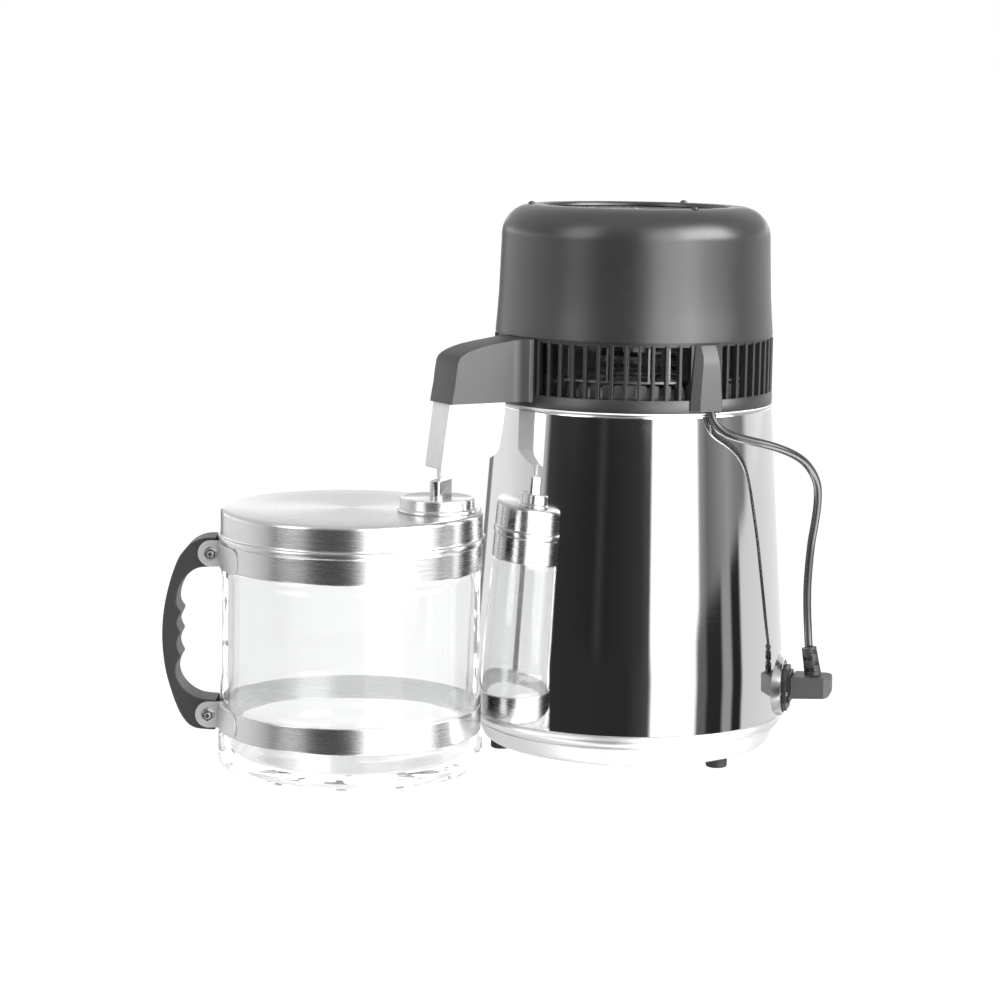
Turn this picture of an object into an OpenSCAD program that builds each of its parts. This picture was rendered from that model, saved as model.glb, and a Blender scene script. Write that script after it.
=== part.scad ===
/* [Layout] */
// Distance between the boiler's axis and the jar's axis
axis_gap = 195; // [195:1:215]
// Distance from the origin to the boiler's axis
boiler_x = 102; // [95:0.1:110]

/* [Boiler] */
// Largest radius of the polished body shell
base_radius = 105.2; // [105:0.1:108]
// Radius of the body shell at its top edge
neck_radius = 92.7; // [92.5:0.1:93]
// Thickness of the body's steel sheet
sheet = 1; // [0.8:0.1:1.2]
// Inner radius of the water tank
tank_radius = 86.5; // [84:0.5:87]
// Height of the tank's floor above the counter
tank_floor_z = 62; // [62:1:80]
// Height of the rubber feet
foot_height = 6; // [5.5:0.1:6.5]
// Diameter of a rubber foot
foot_diameter = 14; // [12:1:16]
// Radius of the circle that the feet stand on
foot_circle = 86; // [80:1:88]

/* [Head] */
// Radius of the slatted ring under the dome
ring_radius = 92.6; // [92:0.1:93]
// Number of places round the ring for slats
slat_places = 65; // [60:1:70]
// Width of one slat
slat_width = 2.3; // [2:0.1:2.6]
// Radius of the dome at its lower edge
dome_radius = 92.3; // [92:0.1:92.6]
// Height of the dome's top above the counter
dome_top_z = 364.5; // [362:0.5:368]
// Wall thickness of the dome
dome_wall = 2.6; // [2:0.1:3]
// Radius of the opening in the dome's top
grille_radius = 61.5; // [60:0.5:62]
// Number of fan blades
blades = 7; // [5:1:9]

/* [Spout] */
// Direction of the spout round the boiler, in degrees
spout_azimuth = 191.4; // [188:0.1:195]
// Width of the spout's arm
spout_width = 28; // [26:1:30]
// Width of the drip funnel at its front
nozzle_width = 21; // [19:1:22]
// Height of the drip tip's end above the counter
drip_z = 190.6; // [190.5:0.1:192]

/* [Outlet and lead] */
// Direction of the fan outlet and its plug, in degrees
outlet_azimuth = -33; // [-36:1:-30]
// Height of the outlet's centre above the counter
outlet_z = 46; // [44:1:48]
// Diameter of the fan lead
lead_diameter = 5.4; // [5:0.1:5.4]
// Direction of the lead's cover on the head, in degrees
tab_azimuth = -82; // [-83:0.5:-81]

/* [Jar] */
// Radius of the jar's plain glass wall
jar_radius = 84; // [83.5:0.1:84.2]
// Thickness of the glass
glass = 3.6; // [3:0.2:4]
// Height of the jar's glass rim
jar_rim_z = 162; // [158:1:164]
// Height of the lid's top
lid_top_z = 168.8; // [168:0.1:169]
// Direction of the handle round the jar, in degrees
handle_azimuth = 159; // [150:0.5:165]
// Width of the handle from side to side
handle_width = 24; // [20:1:24]
// Distance from the jar's axis to the cap's axis
cap_offset = 56.5; // [54:0.5:57]
// Direction of the cap round the jar, in degrees
cap_azimuth = -31.5; // [-35:0.5:-28]
// Radius of the cap's wall
cap_radius = 24.2; // [23:0.1:24.6]

/* [Hidden] */
$fn = 96;

jar_x = boiler_x - axis_gap;
cup_top_z = 18;
bead_bottom_z = 19.6;
shell_bottom_z = 27.4;
shell_top_z = 233.4;
skirt_z = 60;
ring_bottom_z = 235.3;
band_top_z = 243.9;
slat_top_z = 278.7;
dome_bottom_z = 280.5;
shoulder_radius = 20;
slat_depth = 4.6;
slat_pitch = 360 / slat_places;
shaft_radius = 2;
fit = 0.05;
cap_hole_radius = 21;
gap = 0.3;

function arc(cx, cy, r, from, to, n) =
    [for (i = [0:n]) let (a = from + (to - from) * i / n) [cx + r * cos(a), cy + r * sin(a)]];

// One point of a smooth curve through four neighbouring points
function curve_point(a, b, c, d, t) =
    0.5 * (2 * b + (c - a) * t + (2 * a - 5 * b + 4 * c - d) * t * t
        + (3 * b - a - 3 * c + d) * t * t * t);

// A smooth curve through all the points of a list, with n steps between each two
function smooth(p, n) = let (last = len(p) - 1) concat(
    [for (i = [0:last - 1], k = [0:n - 1])
        curve_point(p[max(i - 1, 0)], p[i], p[i + 1], p[min(i + 2, last)], k / n)],
    [p[last]]);

function unit(v) = v / norm(v);

// The least distance between points of a path that are at least some steps apart
function path_gap(path, apart) = min([for (i = [0:len(path) - 1 - apart])
    min([for (k = [i + apart:len(path) - 1]) norm(path[i] - path[k])])]);

// A tube swept along the points of a path, as one closed surface.
// The path never runs along the reference direction.
module swept_tube(path, radius, sides, reference) {
    last = len(path) - 1;
    tangents = [for (i = [0:last]) unit(path[min(i + 1, last)] - path[max(i - 1, 0)])];
    points = [for (i = [0:last]) let (
            t = tangents[i],
            side = unit(cross(t, reference)),
            up = cross(side, t))
        for (k = [0:sides - 1]) path[i] + radius * (cos(360 * k / sides) * side
            + sin(360 * k / sides) * up)];
    sides_faces = [for (i = [0:last - 1], k = [0:sides - 1], half = [0:1]) let (
            a = i * sides + k, b = i * sides + (k + 1) % sides)
        half == 0 ? [a, b, b + sides] : [a, b + sides, a + sides]];
    start_face = [for (k = [1:sides - 2]) [0, k + 1, k]];
    end_face = [for (k = [1:sides - 2]) let (base = last * sides) [base, base + k, base + k + 1]];
    polyhedron(points, concat(sides_faces, start_face, end_face), convexity = 8);
}

module at_boiler() { translate([boiler_x, 0, 0]) children(); }

module at_jar() { translate([jar_x, 0, 0]) children(); }

// Children drawn with X pointing away from the axis at a direction round it
module facing(azimuth) { rotate([0, 0, azimuth]) children(); }

module ring(outer, inner, z0, z1) {
    translate([0, 0, z0]) difference() {
        cylinder(r = outer, h = z1 - z0);
        translate([0, 0, -1]) cylinder(r = inner, h = z1 - z0 + 2);
    }
}

module disc(radius, z0, z1) { translate([0, 0, z0]) cylinder(r = radius, h = z1 - z0); }

module block(low, high) { translate(low) cube(high - low); }

// A bar that lies along X, from x0 to x1
module bar(radius, x0, x1, z) { translate([x0, 0, z]) rotate([0, 90, 0]) cylinder(r = radius, h = x1 - x0); }

// Outline of the body shell, moved inwards by a distance
function shell_side(inset) = [
    [base_radius - inset, shell_bottom_z],
    [base_radius - inset, 45],
    [base_radius - 0.3 - inset, skirt_z],
    [neck_radius - inset, shell_top_z]
];

module shell_solid(inset) {
    rotate_extrude() polygon(concat([[0, shell_bottom_z]], shell_side(inset), [[0, shell_top_z]]));
}

boss_face = 107.6;
boss_foot = 98;
boss_face_radius = 19;
boss_foot_radius = 28;

// The raised boss round the outlet, cut off at the shell's lower edge
module boss() {
    intersection() {
        boss_cone(0);
        disc(130, shell_bottom_z, 100);
    }
}

module boss_cone(inset) {
    facing(outlet_azimuth) translate([boss_foot - inset, 0, outlet_z]) rotate([0, 90, 0])
        cylinder(r1 = boss_foot_radius - inset, r2 = boss_face_radius - inset, h = boss_face - boss_foot);
}

inlet_z = 46;
inlet_face = 108.2;
socket_half_height = 10;
outlet_half_width = 11;
inlet_body_half = 13;
outlet_screws = [[-12.6, -2.5], [12.6, -2.5]];

// The opening that a connector's body passes through
module connector_cut(half_width, z) {
    block([80, -half_width, z - socket_half_height], [120, half_width, z + socket_half_height]);
}

reset_azimuth = 45;
reset_z = 46;
bushing_radius = 6;
button_radius = 4;

module outer_shell() {
    color("silver") difference() {
        union() {
            shell_solid(0);
            boss();
        }
        shell_solid(sheet);
        disc(base_radius - sheet, shell_bottom_z - 1, shell_bottom_z + 1);
        disc(neck_radius - sheet, shell_top_z - 1, shell_top_z + 1);
        boss_cone(sheet);
        facing(outlet_azimuth) connector_cut(outlet_half_width, outlet_z);
        facing(outlet_azimuth) for (s = outlet_screws)
            translate([0, s[0], 0]) bar(1.1, 95, 120, outlet_z + s[1]);
        connector_cut(inlet_body_half, inlet_z);
        facing(reset_azimuth) bar(bushing_radius, 90, 120, reset_z);
    }
}

bead_radius = 104.5;

module bead_ring() {
    middle = (bead_bottom_z + shell_bottom_z) / 2;
    half = (shell_bottom_z - bead_bottom_z) / 2;
    color("lightgray") rotate_extrude() polygon(concat(
        [[99, bead_bottom_z]], arc(bead_radius - half, middle, half, -90, 0, 8),
        [[bead_radius, shell_bottom_z - 1], [bead_radius + 0.4, shell_bottom_z], [99, shell_bottom_z]]));
}

cup_wall = 1.4;

module base_cup() {
    color("gainsboro") difference() {
        rotate_extrude() polygon([
            [0, foot_height], [92.2, foot_height], [94.6, foot_height + 0.7], [97, 9.8], [98.6, 14],
            [100.2, cup_top_z], [98.9, cup_top_z + 0.4], [98.9, shell_bottom_z + 6],
            [98.9 - cup_wall, shell_bottom_z + 6], [98.9 - cup_wall, 16], [95.7, 11.5],
            [92, foot_height + cup_wall], [0, foot_height + cup_wall]]);
        for (a = foot_azimuths) facing(a) translate([foot_circle, 0, 0]) disc(2.2, 0, 20);
    }
}

foot_azimuths = [-68, 52, 172];

module rubber_feet() {
    color("#222222") for (a = foot_azimuths) facing(a) translate([foot_circle, 0, 0])
        difference() {
            rotate_extrude() polygon([[0, 0], [foot_diameter / 2 - 1, 0], [foot_diameter / 2, 1],
                [foot_diameter / 2, foot_height], [0, foot_height]]);
            disc(2.1, -1, foot_height + 1);
            disc(4, -1, 2.4);
        }
}

module foot_screws() {
    color("gray") for (a = foot_azimuths) facing(a) translate([foot_circle, 0, 0]) {
        disc(3.6, 0.6, 2.4);
        disc(2, 2.4, 11);
    }
}

module inner_tank() {
    color("lightgray") rotate_extrude() polygon([
        [0, tank_floor_z], [tank_radius - 5, tank_floor_z], [tank_radius - 1, tank_floor_z + 2],
        [tank_radius + sheet, tank_floor_z + 7], [tank_radius + sheet, shell_top_z],
        [neck_radius + 0.2, shell_top_z], [neck_radius + 0.2, shell_top_z + sheet],
        [tank_radius, shell_top_z + sheet], [tank_radius, tank_floor_z + 7],
        [tank_radius - 1.5, tank_floor_z + 3], [tank_radius - 5.5, tank_floor_z + sheet],
        [0, tank_floor_z + sheet]]);
}

plate_z = 57;
element_radius = 4;
element_ring = 52;

module heat_plate() { color("darkgray") ring(64, 12, plate_z, tank_floor_z); }

// The sheathed element runs nearly full circle and its two cold ends turn down
module heater_element() {
    z = plate_z - element_radius;
    open_angle = 30;
    color("dimgray") facing(180 + open_angle / 2) {
        translate([0, 0, z]) rotate_extrude(angle = 360 - open_angle)
            translate([element_ring, 0]) circle(r = element_radius);
        for (a = [7, -open_angle - 7]) facing(a) translate([element_ring, 0, 0]) {
            disc(3.2, 38, z);
            disc(1.5, 30, 38);
        }
    }
}

module thermostat() {
    color("dimgray") translate([28, 18, 0]) {
        disc(8, 49, plate_z);
        disc(7, 40, 49);
        for (y = [-4, 4]) block([-3, y - 0.4, 32], [3, y + 0.4, 40]);
    }
}

module thermal_cutout() {
    color("sienna") translate([28, -18, 0]) {
        disc(8, 49, plate_z);
        disc(7, 40, 49);
        for (y = [-4, 4]) block([-3, y - 0.4, 32], [3, y + 0.4, 40]);
    }
}

module terminal_block() {
    color("ivory") difference() {
        block([-20, -40, foot_height + cup_wall], [10, -20, 24]);
        for (x = [-15, -5, 5]) translate([x, -30, 0]) disc(2.5, 14, 30);
    }
}

// Insulated wires between the connectors, the cutouts and the terminal block
module inner_wires() {
    color("firebrick") for (route = wire_routes) swept_tube(smooth(route, 5), 1.1, 8, [0, 1, 0.5]);
}

wire_routes = [
    [[84, -2, 40], [74, -4, 26], [50, -16, 16], [28, -28, 14], [12, -30, 18]],
    [[84, 3, 40], [72, 8, 30], [54, 14, 26], [40, 16, 28], [33, 16, 34]],
    [[66, -49, 40], [54, -46, 24], [36, -44, 14], [12, -44, 14], [-4, -42, 18]],
    [[23, 20, 34], [10, 24, 26], [-14, 26, 20], [-34, 20, 22], [-48, 14, 28]],
    [[23, -16, 34], [8, -14, 26], [-16, -12, 20], [-36, -12, 22], [-48, -14, 28]]
];

blade_thickness = 1.5;
blade_width = 5.6;
pin_offset = 7;

// The three flat contacts of a plug, from x0 to x1, widened by an allowance
module flat_pins(x0, x1, z, allowance) {
    for (pin = [[-pin_offset, -1.5], [pin_offset, -1.5], [0, 3]])
        block([x0, pin[0] - blade_thickness / 2 - allowance, z + pin[1] - blade_width / 2 - allowance],
            [x1, pin[0] + blade_thickness / 2 + allowance, z + pin[1] + blade_width / 2 + allowance]);
}

flange_thickness = 3;
socket_face = 112.6;

// A square flange with cut corners that stands square to X
module flange(x0, x1, z, half, corner) {
    c = half - corner;
    translate([x0, 0, z]) rotate([90, 0, 90]) linear_extrude(x1 - x0)
        polygon([[-half, -c], [-c, -half], [c, -half], [half, -c],
            [half, c], [c, half], [-c, half], [-half, c]]);
}

module outlet_socket() {
    body = outlet_half_width - 0.3;
    color("#1c1c1c") facing(outlet_azimuth) difference() {
        union() {
            flange(boss_face, boss_face + flange_thickness, outlet_z - 0.6, 14.4, 6);
            block([90, -body, outlet_z + 0.3 - socket_half_height],
                [boss_face + 1, body, outlet_z + socket_half_height - 0.3]);
            block([boss_face + 1, 0.2 - body, outlet_z + 0.5 - socket_half_height],
                [socket_face, body - 0.2, outlet_z + socket_half_height + 0.5]);
        }
        flat_pins(92, 120, outlet_z + 1.5, 0.4);
        for (s = outlet_screws) translate([0, s[0], 0]) bar(1.1, boss_face - 1, 120, outlet_z + s[1]);
    }
}

module socket_screws() {
    color("silver") facing(outlet_azimuth) for (s = outlet_screws) translate([0, s[0], 0]) {
        bar(1.5, boss_face + flange_thickness, boss_face + flange_thickness + 1, outlet_z + s[1]);
        bar(1, boss_face - 4, boss_face + flange_thickness, outlet_z + s[1]);
    }
}

inlet_screw_spots = [[-13.4, 0], [13.4, 0]];
inlet_depth = 17;
inlet_half_width = 11;
inlet_half_height = 7.5;

module mains_inlet() {
    color("#1c1c1c") difference() {
        union() {
            difference() {
                flange(98, inlet_face, inlet_z, 16, 7);
                shell_solid(-0.05);
            }
            block([inlet_face - inlet_depth - 3, 0.3 - inlet_body_half, inlet_z + 0.3 - socket_half_height],
                [inlet_face - 1, inlet_body_half - 0.3, inlet_z + socket_half_height - 0.3]);
        }
        block([inlet_face - inlet_depth, -inlet_half_width, inlet_z - inlet_half_height],
            [inlet_face + 1, inlet_half_width, inlet_z + inlet_half_height]);
        flat_pins(80, 100, inlet_z, 0);
        for (s = inlet_screw_spots) translate([0, s[0], 0]) bar(1.6, 90, 120, inlet_z + s[1]);
    }
}

module inlet_pins() { color("silver") flat_pins(84, 101, inlet_z, 0); }

module inlet_screws() {
    color("silver") for (s = inlet_screw_spots) translate([0, s[0], 0]) {
        bar(2.2, inlet_face, inlet_face + 1.2, inlet_z + s[1]);
        bar(1.5, 105.6, inlet_face, inlet_z + s[1]);
    }
}

bushing_face = 107;
button_travel = 2;

module reset_bushing() {
    color("#1c1c1c") facing(reset_azimuth) difference() {
        union() {
            bar(bushing_radius - fit, 92, 105, reset_z);
            bar(8.5, 105.25, bushing_face, reset_z);
            bar(bushing_radius - fit, 104, 105.5, reset_z);
            bar(9, 92, 95, reset_z);
        }
        bar(button_radius, 95, 110, reset_z);
    }
}

// A wound spring behind the button
module reset_spring() {
    turns = 3;
    steps = 8;
    wire = 0.25;
    travel = 2.9;
    path = [for (i = [0:turns * steps]) [95.5 + travel * i / (turns * steps),
        2.4 * cos(360 * i / steps), reset_z + 2.4 * sin(360 * i / steps)]];
    echo(spring_gap = path_gap(path, steps / 2) - 2 * wire);
    color("gray") facing(reset_azimuth) swept_tube(path, wire, 6, [1, 0, 0]);
}

module reset_button() {
    color("firebrick") facing(reset_azimuth) {
        bar(button_radius - fit, 101, bushing_face + button_travel, reset_z);
        bar(button_radius - 0.6, bushing_face + button_travel, bushing_face + button_travel + 0.6, reset_z);
    }
}

module tank_gasket() {
    color("white") union() {
        ring(neck_radius, 84.2, shell_top_z + sheet + 0.02, ring_bottom_z);
        ring(tank_radius - gap, 84.2, shell_top_z - 5, ring_bottom_z);
    }
}

steam_radius = 5;
riser_top_z = 275;

// The plate over the tank carries the pipe that steam rises through
module steam_plate() {
    color("silver") difference() {
        union() {
            disc(84, ring_bottom_z - 1, ring_bottom_z + 0.4);
            disc(steam_radius + 2, ring_bottom_z, riser_top_z);
        }
        disc(steam_radius, ring_bottom_z - 5, riser_top_z - 3);
    }
}

// True where the ring is closed behind the spout or the lead's cover
function closed_at(a) =
    abs(a - spout_azimuth) < 13.5 || abs(a - (tab_azimuth + 360)) < 9;

module louver_ring() {
    color("#2b2b2b") difference() {
        union() {
            ring(ring_radius + 0.2, 84.2, ring_bottom_z, band_top_z);
            ring(91.2, 86, slat_top_z - 1, dome_bottom_z);
            translate([0, 0, band_top_z - 0.5]) linear_extrude(slat_top_z - band_top_z + 0.5)
                for (i = [0:slat_places - 1])
                    let (a = i * slat_pitch + 0.7) if (!closed_at(a)) rotate(a)
                        translate([ring_radius - slat_depth, -slat_width / 2])
                            square([slat_depth, slat_width]);
            wall_piece(spout_azimuth, 26);
            wall_piece(tab_azimuth, 14);
        }
        facing(spout_azimuth) bar(6, 80, 100, pipe_z);
        facing(tab_azimuth) bar(3, 80, 100, band_top_z + 6);
    }
}

// A stretch of closed wall in the slatted ring
module wall_piece(azimuth, sweep) {
    facing(azimuth - sweep / 2) translate([0, 0, band_top_z - 0.5]) rotate_extrude(angle = sweep)
        translate([ring_radius - slat_depth, 0]) square([slat_depth, slat_top_z - band_top_z + 0.5]);
}

rim_lugs = 65;

module condenser_rim() {
    color("silver") union() {
        ring(84.1, 74, ring_bottom_z + 0.5, ring_bottom_z + 3);
        translate([0, 0, ring_bottom_z + 2.5]) linear_extrude(14.5) for (i = [0:rim_lugs - 1])
            let (a = (i + 0.5) * 360 / rim_lugs) if (abs(a - spout_azimuth) > 5)
                rotate(a) translate([79.5, -2.5]) square([4, 5]);
    }
}

fins = 36;

module condenser_fins() {
    color("gainsboro") union() {
        ring(78, 61, 253, 254.5);
        translate([0, 0, 254]) linear_extrude(22) for (i = [0:fins - 1])
            rotate((i + 0.5) * 360 / fins) translate([61.5, -0.6]) square([16, 1.2]);
        facing(30) for (a = [0, 120, 240]) facing(a) translate([76, 0, 0]) disc(2.5, ring_bottom_z + 3, 253.5);
    }
}

coil_radius = 54;
pipe_radius = 3;
pipe_z = 248;
coil_top_z = 272;
coil_turns = 3.25;
coil_steps = 24;

// The pipe spirals out of the riser, winds down inside the fins and runs out along the spout
function coil_path() = let (
        count = coil_turns * coil_steps,
        start = spout_azimuth - 360 * coil_turns - 24)
    concat(
        [for (i = [0:count]) let (a = start + 360 * i / coil_steps, r = min(coil_radius, 10 + 5 * i))
            [r * cos(a), r * sin(a), coil_top_z - (coil_top_z - pipe_z) * i / count]],
        [for (step = [[57, 12], [64, 4], [73, 0], [90, 0], [110, 0], [130, 0]])
            [step[0] * cos(spout_azimuth - step[1]), step[0] * sin(spout_azimuth - step[1]), pipe_z]]);

module condenser_coil() {
    echo(coil_gap = path_gap(coil_path(), coil_steps / 2) - 2 * pipe_radius);
    color("silver") swept_tube(coil_path(), pipe_radius, 8, [0, 0, 1]);
}

// Outline of the dome's wall, moved inwards by a distance
function dome_side(inset) = concat(
    [[dome_radius - inset, dome_bottom_z], [90.4 - inset, 306]],
    arc(69, dome_top_z - shoulder_radius, shoulder_radius - inset, 0, 90, 14));

function turned(points) = [for (i = [len(points) - 1:-1:0]) points[i]];

screw_circle = 69.5;
screw_azimuths = [160, 40, -80];

module dome_cover() {
    color("#2b2b2b") difference() {
        rotate_extrude() polygon(concat(dome_side(0),
            [[grille_radius + 1.5, dome_top_z], [grille_radius, dome_top_z - 1],
                [grille_radius, dome_top_z - dome_wall]],
            turned(dome_side(dome_wall))));
        for (a = screw_azimuths) facing(a) translate([screw_circle, 0, 0]) disc(1.6, 355, 370);
    }
}

guard_top = 361.3;
guard_bottom = 359.1;
guard_ribs = 40;
guard_spokes = 4;

module fan_guard() {
    color("#202020") difference() {
        union() {
            ring(72.2, 56.5, guard_bottom, guard_top);
            ring(46, 43.5, guard_bottom, guard_top);
            ring(31, 28.5, guard_bottom, guard_top);
            disc(16, guard_bottom, guard_top);
            translate([0, 0, guard_bottom]) linear_extrude(guard_top - guard_bottom) {
                for (i = [0:guard_ribs - 1]) rotate(68 + i * 360 / guard_ribs)
                    translate([45, -0.8]) square([12, 1.6]);
                for (i = [0:guard_spokes - 1]) rotate(68 + i * 360 / guard_spokes)
                    translate([15, -1.4]) square([42, 2.8]);
            }
        }
        for (a = screw_azimuths) facing(a) translate([screw_circle, 0, 0]) disc(1.55, 355, 370);
    }
}

module guard_screws() {
    color("#151515") for (a = screw_azimuths) facing(a) translate([screw_circle, 0, 0]) {
        disc(1.5, 355, dome_top_z);
        translate([0, 0, dome_top_z]) rotate_extrude() polygon([[0, 0], [2.4, 0], [2, 1], [1, 1.5], [0, 1.6]]);
    }
}

motor_radius = 20;
motor_bottom = 284;
motor_top = 322;

module motor_bracket() {
    color("gray") difference() {
        union() {
            disc(24, dome_bottom_z + 0.1, motor_bottom);
            for (a = [20, 140, 260]) facing(a)
                block([20, -5, dome_bottom_z + 0.1], [88.5, 5, dome_bottom_z + 2]);
        }
        disc(5, 270, 300);
    }
}

module fan_motor() {
    color("silver") difference() {
        union() {
            disc(motor_radius, motor_bottom, motor_top);
            disc(motor_radius - 6, motor_top - 1, motor_top + 3);
            disc(4.9, dome_bottom_z + 1, motor_bottom + 1);
        }
        disc(shaft_radius + fit, motor_bottom + 4, motor_top + 4);
    }
}

// The fan turns on the motor's shaft
module fan_impeller() {
    hub_bottom = motor_top + 4;
    color("#303030") union() {
        disc(shaft_radius, motor_bottom + 5, hub_bottom + 1);
        disc(15, hub_bottom, hub_bottom + 16);
        for (i = [0:blades - 1]) facing(i * 360 / blades) translate([13, 0, hub_bottom + 8])
            rotate([32, 0, 0]) block([0, -13, -1], [47, 13, 1]);
    }
}

arm_end = 148.4;
arm_bottom = 239;

// Side view of the spout's arm, moved inwards by a distance
function arm_side(inset) = [
    [86, arm_bottom - 2 * inset], [arm_end - inset, arm_bottom - 2 * inset],
    [146.1 - inset, 251.4], [144 - inset, 267 - inset / 2], [140.6 - inset, 270.1 - inset],
    [136.6 - inset / 2, 272.5 - inset], [125.3, 275.6 - inset], [109, 278.1 - inset],
    [100.9, 279.4 - inset], [86, 280.2 - inset]];

// Top view of the spout's arm, which widens where it meets the ring
function arm_plan(half) = let (flare = arc(103, half + 10, 10, 210, 270, 8)) concat(
    [[86, half + 5]], flare, [[arm_end + 2, half]], [[arm_end + 2, -half]],
    turned([for (p = flare) [p.x, -p.y]]), [[86, -half - 5]]);

module arm_solid() {
    intersection() {
        rotate([90, 0, 0]) linear_extrude(60, center = true) polygon(arm_side(0));
        translate([0, 0, 220]) linear_extrude(80) polygon(arm_plan(spout_width / 2));
    }
}

arm_wall = 2.4;

module spout_hood() {
    color("#2b2b2b") facing(spout_azimuth) difference() {
        arm_solid();
        rotate([90, 0, 0]) linear_extrude(spout_width - 2 * arm_wall, center = true)
            polygon(arm_side(arm_wall));
        disc(ring_radius + 0.22, 200, 300);
    }
}

nozzle_top = 238.9;
nozzle_wall = 1.6;
tip_radius = 3.3;
tip_r = 146.4;

// Side view of the drip funnel: its front leans outwards and its floor falls towards the tip
function funnel_side(top) = concat(
    [[106.6, top], [106.8, 236.8], [108.1, 225], [109.9, 214.5], [110.6, 210.5], [112.5, 206.5],
        [116.5, 203.7], [123, 201.5], [131, 199.4], [148, 197.2], [152.6, 196.9], [153.2, 197.6]],
    [[147.4, nozzle_top], [147.4, top]]);

// A solid of the funnel's side view, a little wider at the back than at the front
module funnel_solid(inset, top) {
    half = nozzle_width / 2 - inset;
    intersection() {
        rotate([90, 0, 0]) linear_extrude(60, center = true)
            offset(delta = -inset) polygon(funnel_side(top));
        translate([0, 0, 180]) linear_extrude(80) polygon([
            [100, -half - 1.4], [153, -half], [160, -half], [160, half], [153, half], [100, half + 1.4]]);
    }
}

// The deep funnel under the spout's arm, open at the top
module nozzle() {
    color("white") facing(spout_azimuth) difference() {
        funnel_solid(0, nozzle_top + 0.02);
        funnel_solid(nozzle_wall, nozzle_top + 6);
        translate([tip_r, 0, 0]) disc(tip_radius + fit, 190, 205);
    }
}

module drip_tip() {
    color("white") facing(spout_azimuth) translate([tip_r, 0, 0])
        ring(tip_radius, tip_radius - 1, drip_z, 199);
}

tab_front = 99;
tab_bottom = 237;
lead_r = 95.7;
lead_azimuth = -81;

module cable_tab() {
    color("#2b2b2b") facing(tab_azimuth) difference() {
        intersection() {
            translate([0, 0, tab_bottom]) linear_extrude(50)
                polygon([[86, -13.5], [92, -13], [tab_front, -7], [tab_front, 7], [92, 13], [86, 13.5]]);
            rotate([90, 0, 0]) linear_extrude(40, center = true) polygon([
                [86, tab_bottom], [tab_front, tab_bottom], [tab_front, 271], [93.6, 279.3], [86, 279.3]]);
        }
        disc(ring_radius + 0.22, 200, 300);
        facing(lead_azimuth - tab_azimuth) translate([lead_r, 0, 0])
            disc(lead_diameter / 2 + fit, tab_bottom - 1, tab_bottom + 6);
    }
}

module cable_gland() {
    color("#151515") facing(lead_azimuth) translate([lead_r, 0, 0])
        disc(lead_diameter / 2, tab_bottom, tab_bottom + 5.9);
}

// Route of the fan lead, measured from the boiler's axis, from the head down to the plug
lead_route = [
    [15, -94.5, 237], [16.5, -95, 232], [19.5, -96.3, 227.3], [24.2, -98.2, 223.4], [31, -100.3, 220.6],
    [39.5, -101.8, 218.3], [50, -102.8, 215.8], [62, -101.5, 212.2], [74, -98, 207.3],
    [83.5, -94, 201.6], [91, -89.8, 194.4], [96, -86.5, 186.5], [98.4, -83.6, 178], [99.2, -81, 168],
    [99, -78.5, 157], [98.4, -76.3, 146], [98, -74.5, 131], [98.1, -73, 117], [98.8, -71.8, 106.5],
    [99.8, -70.7, 96.5], [101, -69.6, 88], [102.1, -68.4, 81], [103.3, -67.1, 74.5]
];

module fan_lead() {
    color("#202020") swept_tube(smooth(lead_route, 3), lead_diameter / 2, 10, [0.34, 0.94, 0]);
}

relief_foot = [126.6, 0, 55];
relief_top = [123.2, 0, 74.5];
relief_slots = [1.4, 5.6, 9.2, 13.2];
slot_height = 2.6;
slot_angle = 105;

// The bend relief is a leaning sleeve with slots in opposite pairs, each level turned a quarter
module plug_relief() {
    rise = relief_top - relief_foot;
    lean = atan2(rise.x, rise.z);
    length = norm(rise) - 0.9;
    color("#1c1c1c") facing(outlet_azimuth) translate(relief_foot) rotate([0, lean, 0]) difference() {
        cylinder(r1 = 5.7, r2 = 5, h = length);
        for (i = [0:3]) translate([0, 0, length - relief_slots[i] - slot_height])
            for (side = [0, 180]) facing(side - 34.6 - i * 90 - slot_angle / 2)
                rotate_extrude(angle = slot_angle) translate([3.4, 0]) square([4, slot_height]);
    }
}

plug_start = 113;
plug_end = 139;

module plug_body() {
    high = 55;
    corner = 3.2;
    color("#1c1c1c") facing(outlet_azimuth) difference() {
        intersection() {
            translate([0, 0, 35]) linear_extrude(25) polygon([
                [plug_start, -9.5], [plug_start + 2, -11], [plug_end - 4, -11], [plug_end, -7],
                [plug_end, 7], [plug_end - 4, 11], [plug_start + 2, 11], [plug_start, 9.5]]);
            rotate([90, 0, 0]) linear_extrude(40, center = true) polygon([
                [plug_start, 40], [plug_end - corner, 41.3], [plug_end, 41.3 + corner],
                [plug_end, high - 0.8], [plug_end - 0.8, high], [plug_start, high]]);
        }
        flat_pins(plug_start - 1, plug_start + 4, outlet_z + 1.5, 0);
        translate(relief_foot) rotate([0, -10, 0]) translate([0, 0, -0.02]) cylinder(r = 9, h = 4);
    }
}

module plug_pins() {
    color("silver") facing(outlet_azimuth) flat_pins(plug_start - 15, plug_start + 4, outlet_z + 1.5, 0);
}

band_radius = 85.3;
lower_band_z = [23.6, 40.5];
upper_band_z = [131.3, 147.6];

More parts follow.
